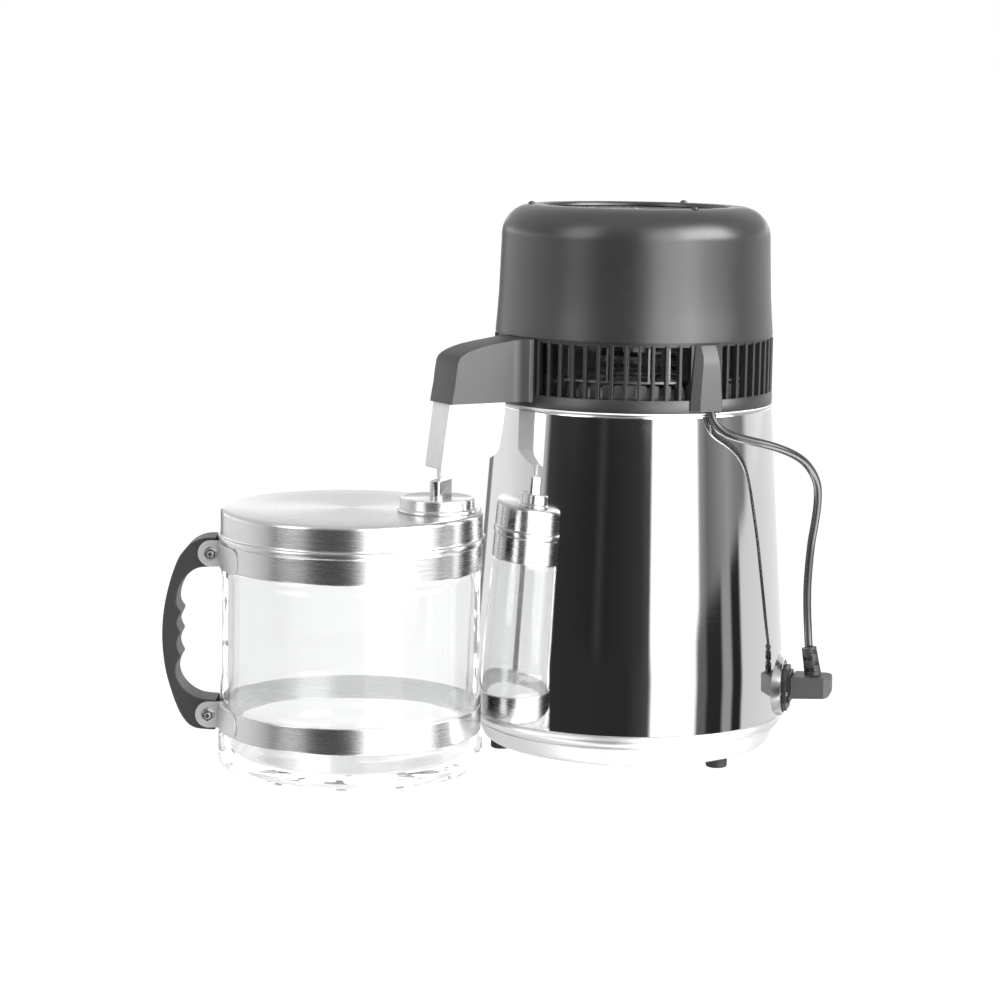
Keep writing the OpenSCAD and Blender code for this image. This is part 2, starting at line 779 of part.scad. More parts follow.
module jar_glass() {
    inner = jar_radius - glass;
    seat = band_radius - sheet - 0.2;
    color("azure", 0.35) rotate_extrude() polygon(concat(
        [[0, 1.5], [68, 1.5], [72, 0], [80, 0]],
        arc(79.6, 7, 7, -90, 0, 8),
        [[86.4, 20], [85.6, 23], [seat, lower_band_z[0]], [seat, lower_band_z[1]],
            [85.2, 43], [85.2, 52], [84.6, 56], [jar_radius, 60], [jar_radius, 125], [84.7, 127],
            [84.7, 130], [seat - 0.3, upper_band_z[0]], [seat - 0.3, jar_rim_z - 3],
            [83, jar_rim_z - 1], [82, jar_rim_z], [80.6, jar_rim_z], [inner, jar_rim_z - 1.5],
            [inner, 12]],
        [[78.5, 9], [74, 7], [0, 6]]));
}

module upper_band() {
    color("silver") ring(band_radius - 0.5, band_radius - 0.5 - sheet, upper_band_z[0], upper_band_z[1]);
}

module lower_band() {
    color("silver") ring(band_radius, band_radius - sheet - 0.1, lower_band_z[0] + 0.1, lower_band_z[1] - 0.1);
}

bracket_thickness = 1.1;
ear_offset = handle_width / 2 + 0.05;
ear_half = 8.6;
leg_sweep = 27;

// A strip bent round the band on one side and standing out as a rounded ear along the handle
module bracket(inner_radius, bolt) {
    bend = asin((ear_offset + bracket_thickness / 3) / (inner_radius + bracket_thickness));
    low = bolt[1] - ear_half;
    high = bolt[1] + ear_half;
    ear_start = inner_radius - 0.4;
    difference() {
        union() {
            facing(bend) translate([0, 0, low + 0.3]) rotate_extrude(angle = leg_sweep)
                translate([inner_radius, 0]) square([bracket_thickness, high - low - 0.6]);
            translate([0, ear_offset + bracket_thickness, 0]) rotate([90, 0, 0])
                linear_extrude(bracket_thickness) polygon(concat([[ear_start, low]],
                    arc(bolt[0], bolt[1], ear_half, -90, 90, 16), [[ear_start, high]]));
        }
        translate([bolt[0], 0, bolt[1]]) rotate([-90, 0, 0]) cylinder(r = 2.2, h = 30);
    }
}

module both_sides() {
    children();
    mirror([0, 1, 0]) children();
}

upper_bolt = [90.3, 138.8];
lower_bolt = [92, 32.4];

module upper_brackets() {
    color("silver") facing(handle_azimuth) both_sides() bracket(band_radius - 0.45, upper_bolt);
}

module lower_brackets() {
    color("silver") facing(handle_azimuth) both_sides() bracket(band_radius + 0.05, lower_bolt);
}

// The grip's outer edge and its inner edge, with three finger bumps
grip_outer = [
    [87.5, 149], [92.5, 149], [96.5, 148.3], [100, 147], [104, 144.5], [108, 140.3], [111.7, 135],
    [115.6, 125], [118.7, 114], [120.8, 103.5], [122, 93], [122.3, 83], [121.7, 73], [120.2, 62],
    [117.4, 51], [113.5, 39.5], [110.2, 32.3], [106.3, 26.8], [102.6, 24], [98.8, 22.8], [93, 22.3],
    [87.5, 22.2]
];
grip_inner = [
    [87.5, 42], [93, 42.2], [99, 43.2], [104.5, 46], [109, 50], [112, 54.5], [113.4, 59], [113.3, 63],
    [112, 67.3], [110.3, 70.7], [111.9, 74.5], [112.8, 78.4], [111.9, 82.3], [110.3, 85.9], [111.7, 89],
    [112.6, 92.3], [111.5, 96], [109.9, 99.8], [111.9, 103], [113, 107.2], [112, 113.3], [109.8, 118.5],
    [107, 122.8], [102.6, 127], [98, 129.2], [92.5, 129.8], [87.5, 129.8]
];

module handle() {
    color("#2b2b2b") facing(handle_azimuth) difference() {
        rotate([90, 0, 0]) linear_extrude(handle_width, center = true)
            polygon(concat(smooth(grip_outer, 2), smooth(grip_inner, 2)));
        for (b = [upper_bolt, lower_bolt]) translate([b[0], 0, b[1]]) rotate([90, 0, 0])
            cylinder(r = 2.2, h = 60, center = true);
    }
}

bolt_seat = ear_offset + bracket_thickness;

module handle_bolts() {
    color("silver") facing(handle_azimuth) for (b = [upper_bolt, lower_bolt])
        translate([b[0], 0, b[1]]) rotate([-90, 0, 0]) {
            translate([0, 0, -bolt_seat - 2.2]) cylinder(r = 3.5, h = 2.2);
            translate([0, 0, -bolt_seat]) cylinder(r = 2, h = 2 * bolt_seat + 4.4);
        }
}

module handle_nuts() {
    color("silver") facing(handle_azimuth) for (b = [upper_bolt, lower_bolt])
        translate([b[0], bolt_seat, b[1]]) rotate([-90, 0, 0]) difference() {
            cylinder(r = 4, h = 3.2, $fn = 6);
            translate([0, 0, -1]) cylinder(r = 2 + fit, h = 6);
        }
}

lid_bead_z = [147.9, 152];

module lid() {
    wall = 0.8;
    skirt = 85.1;
    color("gainsboro") difference() {
        rotate_extrude() polygon(concat(
            [[skirt - wall, lid_bead_z[0]], [86.3, lid_bead_z[0]], [86.7, lid_bead_z[0] + 0.8],
                [86.7, lid_bead_z[1] - 1.2], [86.2, lid_bead_z[1] - 0.4], [skirt, lid_bead_z[1]]],
            arc(skirt - 3, lid_top_z - 3, 3, 0, 90, 6),
            [[0, lid_top_z], [0, lid_top_z - wall], [skirt - 3, lid_top_z - wall],
                [skirt - wall, lid_top_z - 3]]));
        facing(cap_azimuth) translate([cap_offset, 0, 0]) disc(cap_hole_radius, 150, 180);
    }
}

module lid_seal() {
    color("white") union() {
        ring(81.9, 78.2, jar_rim_z + gap, lid_top_z - 0.8);
        ring(jar_radius - glass - gap, 78.2, jar_rim_z - 6, lid_top_z - 1);
    }
}

module at_cap() { facing(cap_azimuth) translate([cap_offset, 0, 0]) children(); }

cap_top_z = 178;

module cap() {
    neck = cap_hole_radius - 0.08;
    seat = lid_top_z + 0.1;
    color("gainsboro") at_cap() difference() {
        rotate_extrude() polygon([
            [0, cap_top_z - 1.2], [neck - 1, cap_top_z - 1.2], [neck - 1, seat - 6], [neck, seat - 6],
            [neck, seat], [25.3, seat], [25.7, seat + 0.6], [25.7, seat + 1.6], [25.2, seat + 2.3],
            [cap_radius, seat + 2.6], [cap_radius, cap_top_z - 0.8], [cap_radius - 0.6, cap_top_z],
            [cap_radius - 1.4, cap_top_z], [cap_radius - 2, cap_top_z - 0.4], [0, cap_top_z - 0.4]]);
        translate(knob_place) disc(2.5, 160, 190);
    }
}

knob_place = [2.56, 2.29, 0];
knob_top_z = 189.4;
knob_turn = 80.5;
strip = 0.9;

// A strip folded to a narrow loop round the drip hole, open at the back, that stands on the cap
module cap_knob() {
    nose = 4.6;
    nose_offset = 8.5;
    leg = 14;
    color("silver") at_cap() translate(knob_place) facing(knob_turn)
        translate([-nose_offset, 0, cap_top_z - 0.4]) linear_extrude(knob_top_z - cap_top_z + 0.4) difference() {
            union() {
                circle(r = nose);
                translate([0, -nose]) square([leg, 2 * nose]);
            }
            circle(r = nose - strip);
            translate([0, strip - nose]) square([leg + 1, 2 * (nose - strip)]);
        }
}

at_boiler() outer_shell();
at_boiler() bead_ring();
at_boiler() base_cup();
at_boiler() rubber_feet();
at_boiler() foot_screws();
at_boiler() inner_tank();
at_boiler() heat_plate();
at_boiler() heater_element();
at_boiler() thermostat();
at_boiler() thermal_cutout();
at_boiler() terminal_block();
at_boiler() inner_wires();
at_boiler() outlet_socket();
at_boiler() socket_screws();
at_boiler() mains_inlet();
at_boiler() inlet_pins();
at_boiler() inlet_screws();
at_boiler() reset_bushing();
at_boiler() reset_spring();
at_boiler() reset_button();
at_boiler() tank_gasket();
at_boiler() steam_plate();
at_boiler() louver_ring();
at_boiler() condenser_rim();
at_boiler() condenser_fins();
at_boiler() condenser_coil();
at_boiler() dome_cover();
at_boiler() fan_guard();
at_boiler() guard_screws();
at_boiler() motor_bracket();
at_boiler() fan_motor();
at_boiler() fan_impeller();
at_boiler() spout_hood();
at_boiler() nozzle();
at_boiler() drip_tip();
at_boiler() cable_tab();
at_boiler() cable_gland();
at_boiler() fan_lead();
at_boiler() plug_relief();
at_boiler() plug_body();
at_boiler() plug_pins();
at_jar() jar_glass();
at_jar() upper_band();
at_jar() lower_band();
at_jar() upper_brackets();
at_jar() lower_brackets();
at_jar() handle();
at_jar() handle_bolts();
at_jar() handle_nuts();
at_jar() lid();
at_jar() lid_seal();
at_jar() cap();
at_jar() cap_knob();
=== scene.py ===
import math

import bmesh
import bpy
from mathutils import Matrix, Vector


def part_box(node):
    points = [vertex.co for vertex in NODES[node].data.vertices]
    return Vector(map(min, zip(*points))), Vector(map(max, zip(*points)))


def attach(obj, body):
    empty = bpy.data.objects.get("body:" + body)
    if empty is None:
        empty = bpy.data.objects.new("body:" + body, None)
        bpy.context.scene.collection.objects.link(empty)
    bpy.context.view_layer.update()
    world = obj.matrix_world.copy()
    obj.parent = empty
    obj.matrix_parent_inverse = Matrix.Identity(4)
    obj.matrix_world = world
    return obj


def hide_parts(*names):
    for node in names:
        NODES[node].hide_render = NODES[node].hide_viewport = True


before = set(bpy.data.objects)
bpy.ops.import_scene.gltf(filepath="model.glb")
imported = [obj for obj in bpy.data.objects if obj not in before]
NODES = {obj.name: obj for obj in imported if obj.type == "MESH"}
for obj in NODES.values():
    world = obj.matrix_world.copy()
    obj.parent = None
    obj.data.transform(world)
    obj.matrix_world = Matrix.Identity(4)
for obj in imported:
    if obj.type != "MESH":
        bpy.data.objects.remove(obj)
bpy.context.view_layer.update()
MM = 0.001


def centre_x(node):
    low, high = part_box(node)
    return (low.x + high.x) / 2 / MM


BX = centre_x("inner_tank")   # the boiler's axis, in millimetres like every length below
JX = centre_x("lower_band")   # the jar's axis
# Directions round the boiler and the jar, in degrees
SPOUT, TAB, OUTLET, RESET = 191.4, -82.0, -33.0, 45
HANDLE, CAP = 159.0, -31.5
CAP_OFFSET = 56.5
OUTLET_HEIGHT = 46   # of the connectors and the reset button
# Turns a part made about Z so that Z points outwards, and X and Y along the wall
OUTWARDS = Matrix(((0, 0, 1, 0), (1, 0, 0, 0), (0, 1, 0, 0), (0, 0, 0, 1)))


def turn(azimuth):
    return Matrix.Rotation(math.radians(azimuth), 4, "Z")


def at(x, azimuth=0.0):
    """From a frame that faces a direction round an axis to the object's frame."""
    return Matrix.Translation((x, 0, 0)) @ turn(azimuth)


AT_BOILER, AT_JAR = at(BX), at(JX)
AT_CAP = at(JX, CAP) @ Matrix.Translation((CAP_OFFSET, 0, 0))


# ---------------------------------------------------------------- camera

def make_camera():
    data = bpy.data.cameras.new("photo_camera")
    data.sensor_width, data.lens = 36.0, 102.13
    data.clip_start, data.clip_end = 0.05, 50
    camera = bpy.data.objects.new("photo_camera", data)
    bpy.context.scene.collection.objects.link(camera)
    forward = Vector((0.337546, 0.930765, -0.140496)).normalized()
    right = forward.cross(Vector((0, 0, 1))).normalized()
    up = right.cross(forward)
    roll = math.radians(0.893)
    right, up = (right * math.cos(roll) + up * math.sin(roll),
                 up * math.cos(roll) - right * math.sin(roll))
    place = Matrix((right, up, -forward)).transposed().to_4x4()
    place.translation = Vector((BX - 726.28, -1745.97, 433.67)) * MM
    camera.matrix_world = place
    bpy.context.scene.camera = camera


make_camera()


# ---------------------------------------------------------------- mesh helpers

def arc(cx, cy, r, start, end, n):
    step = (end - start) / n
    return [(cx + r * math.cos(math.radians(start + step * i)),
             cy + r * math.sin(math.radians(start + step * i))) for i in range(n + 1)]


def smooth(points, n):
    """The same curve through the points as the solids follow, with n steps between each two."""
    p = [Vector(q) for q in points]
    last = len(p) - 1
    out = []
    for i in range(last):
        a, b, c, d = p[max(i - 1, 0)], p[i], p[i + 1], p[min(i + 2, last)]
        for k in range(n):
            t = k / n
            out.append(0.5 * (2 * b + (c - a) * t + (2 * a - 5 * b + 4 * c - d) * t * t
                              + (3 * b - a - 3 * c + d) * t ** 3))
    return out + [p[last]]


def lathe(profile, segments=160, start=0.0, sweep=360.0):
    """Vertices and faces of a closed outline of (radius, height) turned about Z."""
    whole = sweep >= 360
    rows = segments if whole else segments + 1
    verts, faces, n = [], [], len(profile)
    for i in range(rows):
        a = math.radians(start + sweep * i / segments)
        verts += [(r * math.cos(a), r * math.sin(a), z) for r, z in profile]
    for i in range(segments):
        j = (i + 1) % rows
        faces += [(i * n + k, j * n + k, j * n + (k + 1) % n, i * n + (k + 1) % n)
                  for k in range(n)]
    if not whole:
        faces += [tuple(range(n)), tuple((rows - 1) * n + k for k in reversed(range(n)))]
    return verts, faces


def prism(outline, low, high, place=Matrix.Identity(4)):
    """An outline in X and Y, raised from one height to another."""
    n = len(outline)
    verts = [place @ Vector((p[0], p[1], z)) for z in (low, high) for p in outline]
    faces = [(k, (k + 1) % n, n + (k + 1) % n, n + k) for k in range(n)]
    return verts, faces + [tuple(reversed(range(n))), tuple(range(n, 2 * n))]


def side_prism(outline, half):
    """An outline in X and Z, as wide as two halves along Y."""
    n = len(outline)
    verts = [(p[0], y, p[1]) for y in (-half, half) for p in outline]
    faces = [(k, (k + 1) % n, n + (k + 1) % n, n + k) for k in range(n)]
    return verts, faces + [tuple(reversed(range(n))), tuple(range(n, 2 * n))]


def box_part(low, high):
    return prism([(low[0], low[1]), (high[0], low[1]), (high[0], high[1]), (low[0], high[1])],
                 low[2], high[2])


def moved(part, place):
    return [place @ Vector(v) for v in part[0]], part[1]


def along_x(part):
    """Turns a part made about Z so that its Z points along X."""
    return moved(part, Matrix.Rotation(math.radians(90), 4, "Y"))


def along_y(part):
    return moved(part, Matrix.Rotation(math.radians(-90), 4, "X"))


def joined(*parts):
    verts, faces = [], []
    for v, f in parts:
        base = len(verts)
        verts += [Vector(p) for p in v]
        faces += [tuple(base + k for k in face) for face in f]
    return verts, faces


def round_edges(obj, width, steps, angle, harden=True):
    edge = obj.modifiers.new("edge", "BEVEL")
    edge.width, edge.segments = width * MM, steps
    edge.limit_method, edge.angle_limit = "ANGLE", math.radians(angle)
    edge.harden_normals = harden


def piece(name, part, place, body, material, nodes=(), sharp=35, bevel=0.0, steps=2):
    """One visible piece: its mesh, its finish, the body it rides on and the nodes it stands for."""
    mesh = bpy.data.meshes.new(name)
    mesh.from_pydata([(place @ Vector(v)) * MM for v in part[0]], [], part[1])
    bm = bmesh.new()
    bm.from_mesh(mesh)
    bmesh.ops.remove_doubles(bm, verts=bm.verts, dist=0.002 * MM)
    bmesh.ops.dissolve_degenerate(bm, edges=bm.edges, dist=0.001 * MM)
    bmesh.ops.recalc_face_normals(bm, faces=bm.faces)
    bm.to_mesh(mesh)
    bm.free()
    mesh.shade_smooth()
    mesh.set_sharp_from_angle(angle=math.radians(sharp))
    mesh.materials.append(material)
    obj = bpy.data.objects.new(name, mesh)
    bpy.context.scene.collection.objects.link(obj)
    if bevel:
        round_edges(obj, bevel, steps, sharp)
    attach(obj, body)
    if nodes:
        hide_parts(*nodes)
    return obj


# ---------------------------------------------------------------- materials

def add_node(tree, kind, **values):
    made = tree.nodes.new(kind)
    for key, value in values.items():
        setattr(made, key, value)
    return made


class Material:
    """A node material that grows from one Principled shader."""

    def __init__(self, name, color, roughness, metallic=0.0, specular=0.5):
        self.mat = bpy.data.materials.new(name)
        self.mat.use_nodes = True
        self.tree = self.mat.node_tree
        self.shader = self.tree.nodes["Principled BSDF"]
        self.coords = self.node("ShaderNodeTexCoord").outputs["Object"]
        self.set("Base Color", (*color, 1))
        self.set("Roughness", roughness)
        self.set("Metallic", metallic)
        self.set("Specular IOR Level", specular)
        self.color = color

    def node(self, kind, **values):
        return add_node(self.tree, kind, **values)

    def set(self, socket, value):
        self.shader.inputs[socket].default_value = value

    def link(self, a, b):
        self.tree.links.new(a, b)

    def stretched(self, centre, scale):
        """Coordinates about an axis, scaled along each direction."""
        mapping = self.node("ShaderNodeMapping")
        mapping.inputs["Location"].default_value = [-c * s for c, s in zip(centre, scale)]
        mapping.inputs["Scale"].default_value = scale
        self.link(self.coords, mapping.inputs["Vector"])
        return mapping.outputs["Vector"]

    def noise(self, vector, scale=1.0, detail=3.0, rough=0.6):
        made = self.node("ShaderNodeTexNoise")
        made.inputs["Scale"].default_value = scale
        made.inputs["Detail"].default_value = detail
        made.inputs["Roughness"].default_value = rough
        self.link(vector, made.inputs["Vector"])
        return made.outputs["Fac"]

    def spread(self, value, low, high):
        made = self.node("ShaderNodeMapRange")
        made.inputs["From Min"].default_value = 0.25
        made.inputs["From Max"].default_value = 0.75
        made.inputs["To Min"].default_value = low
        made.inputs["To Max"].default_value = high
        self.link(value, made.inputs["Value"])
        return made.outputs["Result"]

    def vary_color(self, value, amount):
        mix = self.node("ShaderNodeMix", data_type="RGBA")
        mix.inputs["A"].default_value = (*[c * (1 - amount) for c in self.color], 1)
        mix.inputs["B"].default_value = (*[min(1, c * (1 + amount)) for c in self.color], 1)
        self.link(value, mix.inputs["Factor"])
        self.link(mix.outputs["Result"], self.shader.inputs["Base Color"])

    def vary_roughness(self, value, low, high):
        self.link(self.spread(value, low, high), self.shader.inputs["Roughness"])

    def bump(self, value, strength, distance):
        made = self.node("ShaderNodeBump")
        made.inputs["Strength"].default_value = strength
        made.inputs["Distance"].default_value = distance * MM
        self.link(value, made.inputs["Height"])
        self.link(made.outputs["Normal"], self.shader.inputs["Normal"])


def plastic(name, color, roughness, grain=0.02, specular=0.9):
    m = Material(name, color, roughness, specular=specular)
    cloud = m.noise(m.coords, scale=55, detail=2)
    m.vary_color(cloud, 0.12)
    m.vary_roughness(m.noise(m.coords, scale=240, detail=4), roughness - 0.03, roughness + 0.04)
    m.bump(m.noise(m.coords, scale=2600, detail=2), 0.35, grain)
    return m.mat


def polished(name, centre, color=(0.83, 0.83, 0.835), roughness=0.035):
    m = Material(name, color, roughness, metallic=1.0)
    lines = m.noise(m.stretched((*centre, 0), (14, 14, 1500)), scale=1, detail=2)
    m.vary_roughness(lines, roughness, roughness + 0.03)
    m.vary_color(m.noise(m.coords, scale=9, detail=3), 0.025)
    m.bump(m.noise(m.stretched((*centre, 0), (22, 22, 9)), scale=1, detail=1), 0.12, 0.12)
    return m.mat


def brushed(name, centre, color=(0.70, 0.70, 0.705), roughness=0.24, aniso=0.75, line=1700):
    """Steel brushed round an axis: fine lines run round it and reflections stretch across them."""
    m = Material(name, color, roughness, metallic=1.0)
    place = m.stretched((*centre, 0), (1, 1, 1))
    split = m.node("ShaderNodeSeparateXYZ")
    m.link(place, split.inputs[0])
    flat = m.node("ShaderNodeCombineXYZ")
    m.link(split.outputs["X"], flat.inputs["X"])
    m.link(split.outputs["Y"], flat.inputs["Y"])
    reach = m.node("ShaderNodeVectorMath", operation="LENGTH")
    m.link(flat.outputs[0], reach.inputs[0])
    around = m.node("ShaderNodeMath", operation="ARCTAN2")
    m.link(split.outputs["Y"], around.inputs[0])
    m.link(split.outputs["X"], around.inputs[1])
    across = m.node("ShaderNodeCombineXYZ")
    for source, target, scale in ((reach.outputs["Value"], "X", line),
                                  (around.outputs[0], "Y", 5.0), (split.outputs["Z"], "Z", line)):
        times = m.node("ShaderNodeMath", operation="MULTIPLY")
        times.inputs[1].default_value = scale
        m.link(source, times.inputs[0])
        m.link(times.outputs[0], across.inputs[target])
    lines = m.noise(across.outputs[0], scale=1, detail=3)
    m.vary_color(lines, 0.04)
    m.vary_roughness(lines, roughness - 0.02, roughness + 0.03)
    m.bump(lines, 0.10, 0.004)
    tangent = m.node("ShaderNodeTangent", direction_type="RADIAL", axis="Z")
    m.link(tangent.outputs[0], m.shader.inputs["Tangent"])
    m.set("Anisotropic", aniso)
    m.set("Anisotropic Rotation", 0.25)
    return m.mat


def satin(name, color, roughness, grain=0.01, scale=1800, metallic=1.0):
    m = Material(name, color, roughness, metallic=metallic)
    m.vary_color(m.noise(m.coords, scale=30, detail=3), 0.05)
    m.vary_roughness(m.noise(m.coords, scale=400, detail=3), roughness - 0.04, roughness + 0.05)
    m.bump(m.noise(m.coords, scale=scale, detail=2), 0.25, grain)
    return m.mat


def glass(name):
    m = Material(name, (0.95, 0.955, 0.955), 0.0, specular=0.5)
    m.set("Transmission Weight", 0.92)
    m.set("IOR", 1.05)
    m.set("Coat Weight", 1.0)
    m.set("Coat Roughness", 0.01)
    m.vary_roughness(m.noise(m.coords, scale=40, detail=2), 0.0, 0.012)
    m.bump(m.noise(m.stretched((JX * MM, 0, 0), (30, 30, 8)), scale=1, detail=1), 0.10, 0.15)
    return m.mat


boiler_axis, jar_axis = (BX * MM, 0), (JX * MM, 0)
cap_centre = AT_CAP @ Vector((0, 0, 0)) * MM
MAT = {
    "shell": polished("mirror_steel", boiler_axis),
    "bead": satin("bead_steel", (0.88, 0.88, 0.885), 0.40),
    "cup": satin("satin_base", (0.90, 0.90, 0.905), 0.46),
    "lid": brushed("lid_steel", jar_axis, (0.74, 0.74, 0.745), 0.26, 0.7),
    "band": brushed("band_steel", jar_axis, (0.72, 0.72, 0.725), 0.26, 0.6),
    "cap": brushed("cap_steel", (cap_centre.x, cap_centre.y), (0.76, 0.76, 0.765), 0.27, 0.8),
    "strip": satin("strip_steel", (0.72, 0.72, 0.725), 0.20),
    "nozzle": plastic("nozzle_moulding", (0.86, 0.86, 0.855), 0.38, grain=0.006, specular=0.5),
    # The condenser coil's steel is darkened with painted shade for the enclosed head.
    "tube": satin("coil_steel_painted_shade", (0.45, 0.45, 0.46), 0.2),
    "ear": satin("ear_steel", (0.80, 0.80, 0.805), 0.48),
    "boss": polished("boss_steel", boiler_axis, roughness=0.14),
    "lug": plastic("lug_moulding", (0.10, 0.10, 0.10), 0.30, specular=0.6),
    "zinc": satin("zinc_steel", (0.70, 0.71, 0.72), 0.26),
    "nickel": satin("nickel", (0.78, 0.75, 0.70), 0.2),
    # The condenser fins keep a grey alloy tone, darkened further with painted shade for the
    # enclosed head.
    "alloy": satin("fin_alloy_painted_shade", (0.42, 0.42, 0.43), 0.38, grain=0.03, scale=900),
    "tank": brushed("tank_steel", boiler_axis, (0.68, 0.68, 0.69), 0.3, 0.5),
    "dark_steel": satin("dark_sheath", (0.16, 0.15, 0.15), 0.4),
    "dome": plastic("dome_moulding", (0.016, 0.016, 0.017), 0.30, specular=1.0),
    "hood": plastic("hood_moulding", (0.028, 0.028, 0.029), 0.46, specular=1.0),
    "guard": plastic("guard_moulding", (0.15, 0.15, 0.152), 0.22),
    "vent": plastic("vent_moulding", (0.014, 0.014, 0.015), 0.34),
    "grip": plastic("grip_moulding", (0.030, 0.030, 0.031), 0.44, grain=0.03),
    "socket": plastic("socket_moulding", (0.020, 0.020, 0.021), 0.38, specular=0.6),
    "red": plastic("red_moulding", (0.45, 0.02, 0.02), 0.25, specular=0.5),
    "white": plastic("white_moulding", (0.78, 0.77, 0.73), 0.3, specular=0.5),
    "cord": plastic("cord_sheath", (0.020, 0.020, 0.021), 0.20, grain=0.002, specular=0.8),
    "plug": plastic("plug_moulding", (0.045, 0.045, 0.046), 0.45, specular=0.8),
    "sleeve": plastic("sleeve_moulding", (0.026, 0.026, 0.027), 0.36, specular=0.6),
    "rubber": plastic("foot_rubber", (0.018, 0.018, 0.018), 0.6, specular=0.4),
    "silicone": plastic("silicone", (0.78, 0.78, 0.77), 0.45, specular=0.4),
    "wire": plastic("wire_sleeve", (0.40, 0.04, 0.035), 0.4, specular=0.4),
    "screw": satin("black_screw", (0.10, 0.10, 0.10), 0.35),
    "glass": glass("clear_glass"),
}


def finish_nodes(material, *names):
    """Gives nodes that stay as they are their finish."""
    for name in names:
        data = NODES[name].data
        data.materials.clear()
        data.materials.append(MAT[material])


finish_nodes("cup", "heat_plate")
finish_nodes("zinc", "foot_screws", "thermostat", "thermal_cutout", "socket_screws",
             "inlet_screws", "reset_spring", "motor_bracket", "fan_motor")
finish_nodes("tank", "inner_tank", "steam_plate")
finish_nodes("dark_steel", "heater_element")
finish_nodes("white", "terminal_block")
finish_nodes("wire", "inner_wires")
finish_nodes("socket", "mains_inlet", "reset_bushing")
finish_nodes("nickel", "inlet_pins", "plug_pins")
finish_nodes("red", "reset_button")
finish_nodes("silicone", "tank_gasket", "lid_seal")
finish_nodes("alloy", "condenser_fins")
finish_nodes("tube", "condenser_coil")
finish_nodes("vent", "fan_impeller")
finish_nodes("guard", "fan_guard")
finish_nodes("screw", "guard_screws")
finish_nodes("cord", "cable_gland")


# ---------------------------------------------------------------- fan lead and plug

LEAD_ROUTE = [
    (15, -94.5, 237), (16.5, -95, 232), (19.5, -96.3, 227.3), (24.2, -98.2, 223.4),
    (31, -100.3, 220.6), (39.5, -101.8, 218.3), (50, -102.8, 215.8), (62, -101.5, 212.2),
    (74, -98, 207.3), (83.5, -94, 201.6), (91, -89.8, 194.4), (96, -86.5, 186.5),
    (98.4, -83.6, 178), (99.2, -81, 168), (99, -78.5, 157), (98.4, -76.3, 146),
    (98, -74.5, 131), (98.1, -73, 117), (98.8, -71.8, 106.5), (99.8, -70.7, 96.5),
    (101, -69.6, 88), (102.1, -68.4, 81), (103.3, -67.1, 74.5)]
LEAD_DIAMETER = 5.4


def make_lead():
    points = [(p + Vector((BX, 0, 0))) * MM for p in smooth(LEAD_ROUTE, 4)]
    curve = bpy.data.curves.new("lead", "CURVE")
    curve.dimensions = "3D"
    curve.bevel_depth = LEAD_DIAMETER / 2 * MM
    curve.bevel_resolution = 6
    curve.use_fill_caps = True
    spline = curve.splines.new("POLY")
    spline.points.add(len(points) - 1)
    for place, p in zip(spline.points, points):
        place.co = (*p, 1)
    curve.materials.append(MAT["cord"])
    lead = bpy.data.objects.new("lead", curve)
    bpy.context.scene.collection.objects.link(lead)
    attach(lead, "head")
    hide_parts("fan_lead")
    length = sum((b - a).length for a, b in zip(points, points[1:]))
    return lead, points[0], length


def make_relief():
    """The sleeve on the plug, with slots in opposite pairs that turn a quarter at each level."""
    foot, top = Vector((126.6, 0, 55)), Vector((123.2, 0, 74.5))
    rise = top - foot
    length = rise.length - 0.9
    lean = Matrix.Rotation(math.atan2(rise.x, rise.z), 4, "Y")
    place = at(BX, OUTLET) @ Matrix.Translation(foot) @ lean

    def radius(h):
        return 5.65 - 0.7 * h / length

    def wall(low, high, *sector):
        return lathe([(3.0, low), (radius(low), low), (radius(high), high), (3.0, high)], *sector)

    slots = [1.4, 5.6, 9.2, 13.2]
    edges = [0.0]
    for depth in slots:
        edges += [length - edge for edge in (depth, depth + 2.6)]
    edges = [0.0] + sorted(edges[1:]) + [length]
    parts = [lathe([(0, 0), (3.4, 0), (3.4, length - 0.3), (0, length - 0.3)], 32)]
    parts += [wall(low, high, 48) for low, high in zip(edges[0::2], edges[1::2])]
    for i, depth in enumerate(slots):
        for side in (90, 270):
            parts.append(wall(length - depth - 2.7, length - depth + 0.1, 12,
                              side - 34.6 - 90 * i - 37.5, 75))
    return piece("relief", joined(*parts), place, "plug", MAT["sleeve"],
                 ("plug_relief",), bevel=0.25, steps=2)


def rounded(x0, x1, y0, y1, r, n=6):
    return (arc(x1 - r, y0 + r, r, -90, 0, n) + arc(x1 - r, y1 - r, r, 0, 90, n)
            + arc(x0 + r, y1 - r, r, 90, 180, n) + arc(x0 + r, y0 + r, r, 180, 270, n))


def make_plug():
    """The flat plug: its underside rises outwards and its outer corners are cut."""
    split = 135.0
    half = 10.9
    inner = [(split, 55.0), (114.4, 55.0), (113.1, 54.2), (113.1, 40.8), (114.2, 40.06),
             (split, 41.2)]
    outer = [(split, 41.2), *arc(135.9, 44.4, 3.0, -85, 0, 6), *arc(137.1, 53.2, 1.8, 0, 85, 5),
             (split, 55.0)]
    outline = inner[1:-1] + outer
    n = len(outline)
    cut_off = [max(0.0, x - split) for x, z in outline]
    verts = [(x, side * (half - c), z) for side in (-1, 1) for (x, z), c in zip(outline, cut_off)]
    faces = [(k, (k + 1) % n, n + (k + 1) % n, n + k) for k in range(n)]
    first = len(inner) - 2
    for base in (0, n):
        faces.append(tuple(base + k for k in range(first, n)))
        faces.append(tuple(base + k for k in [*range(first + 1), n - 1]))
    parts = [(verts, faces)]
    for i in range(5):
        x = 124.2 + 1.75 * i
        for y in (-10.96, 10.66):
            parts.append(box_part((x, y, 43.4), (x + 0.6, y + 0.3, 50.6)))
    return piece("plug_shell", joined(*parts), at(BX, OUTLET), "plug",
                 MAT["plug"], ("plug_body",), bevel=0.7, steps=3)


lead, lead_exit, lead_length = make_lead()
relief, plug_shell = make_relief(), make_plug()


# ---------------------------------------------------------------- boiler

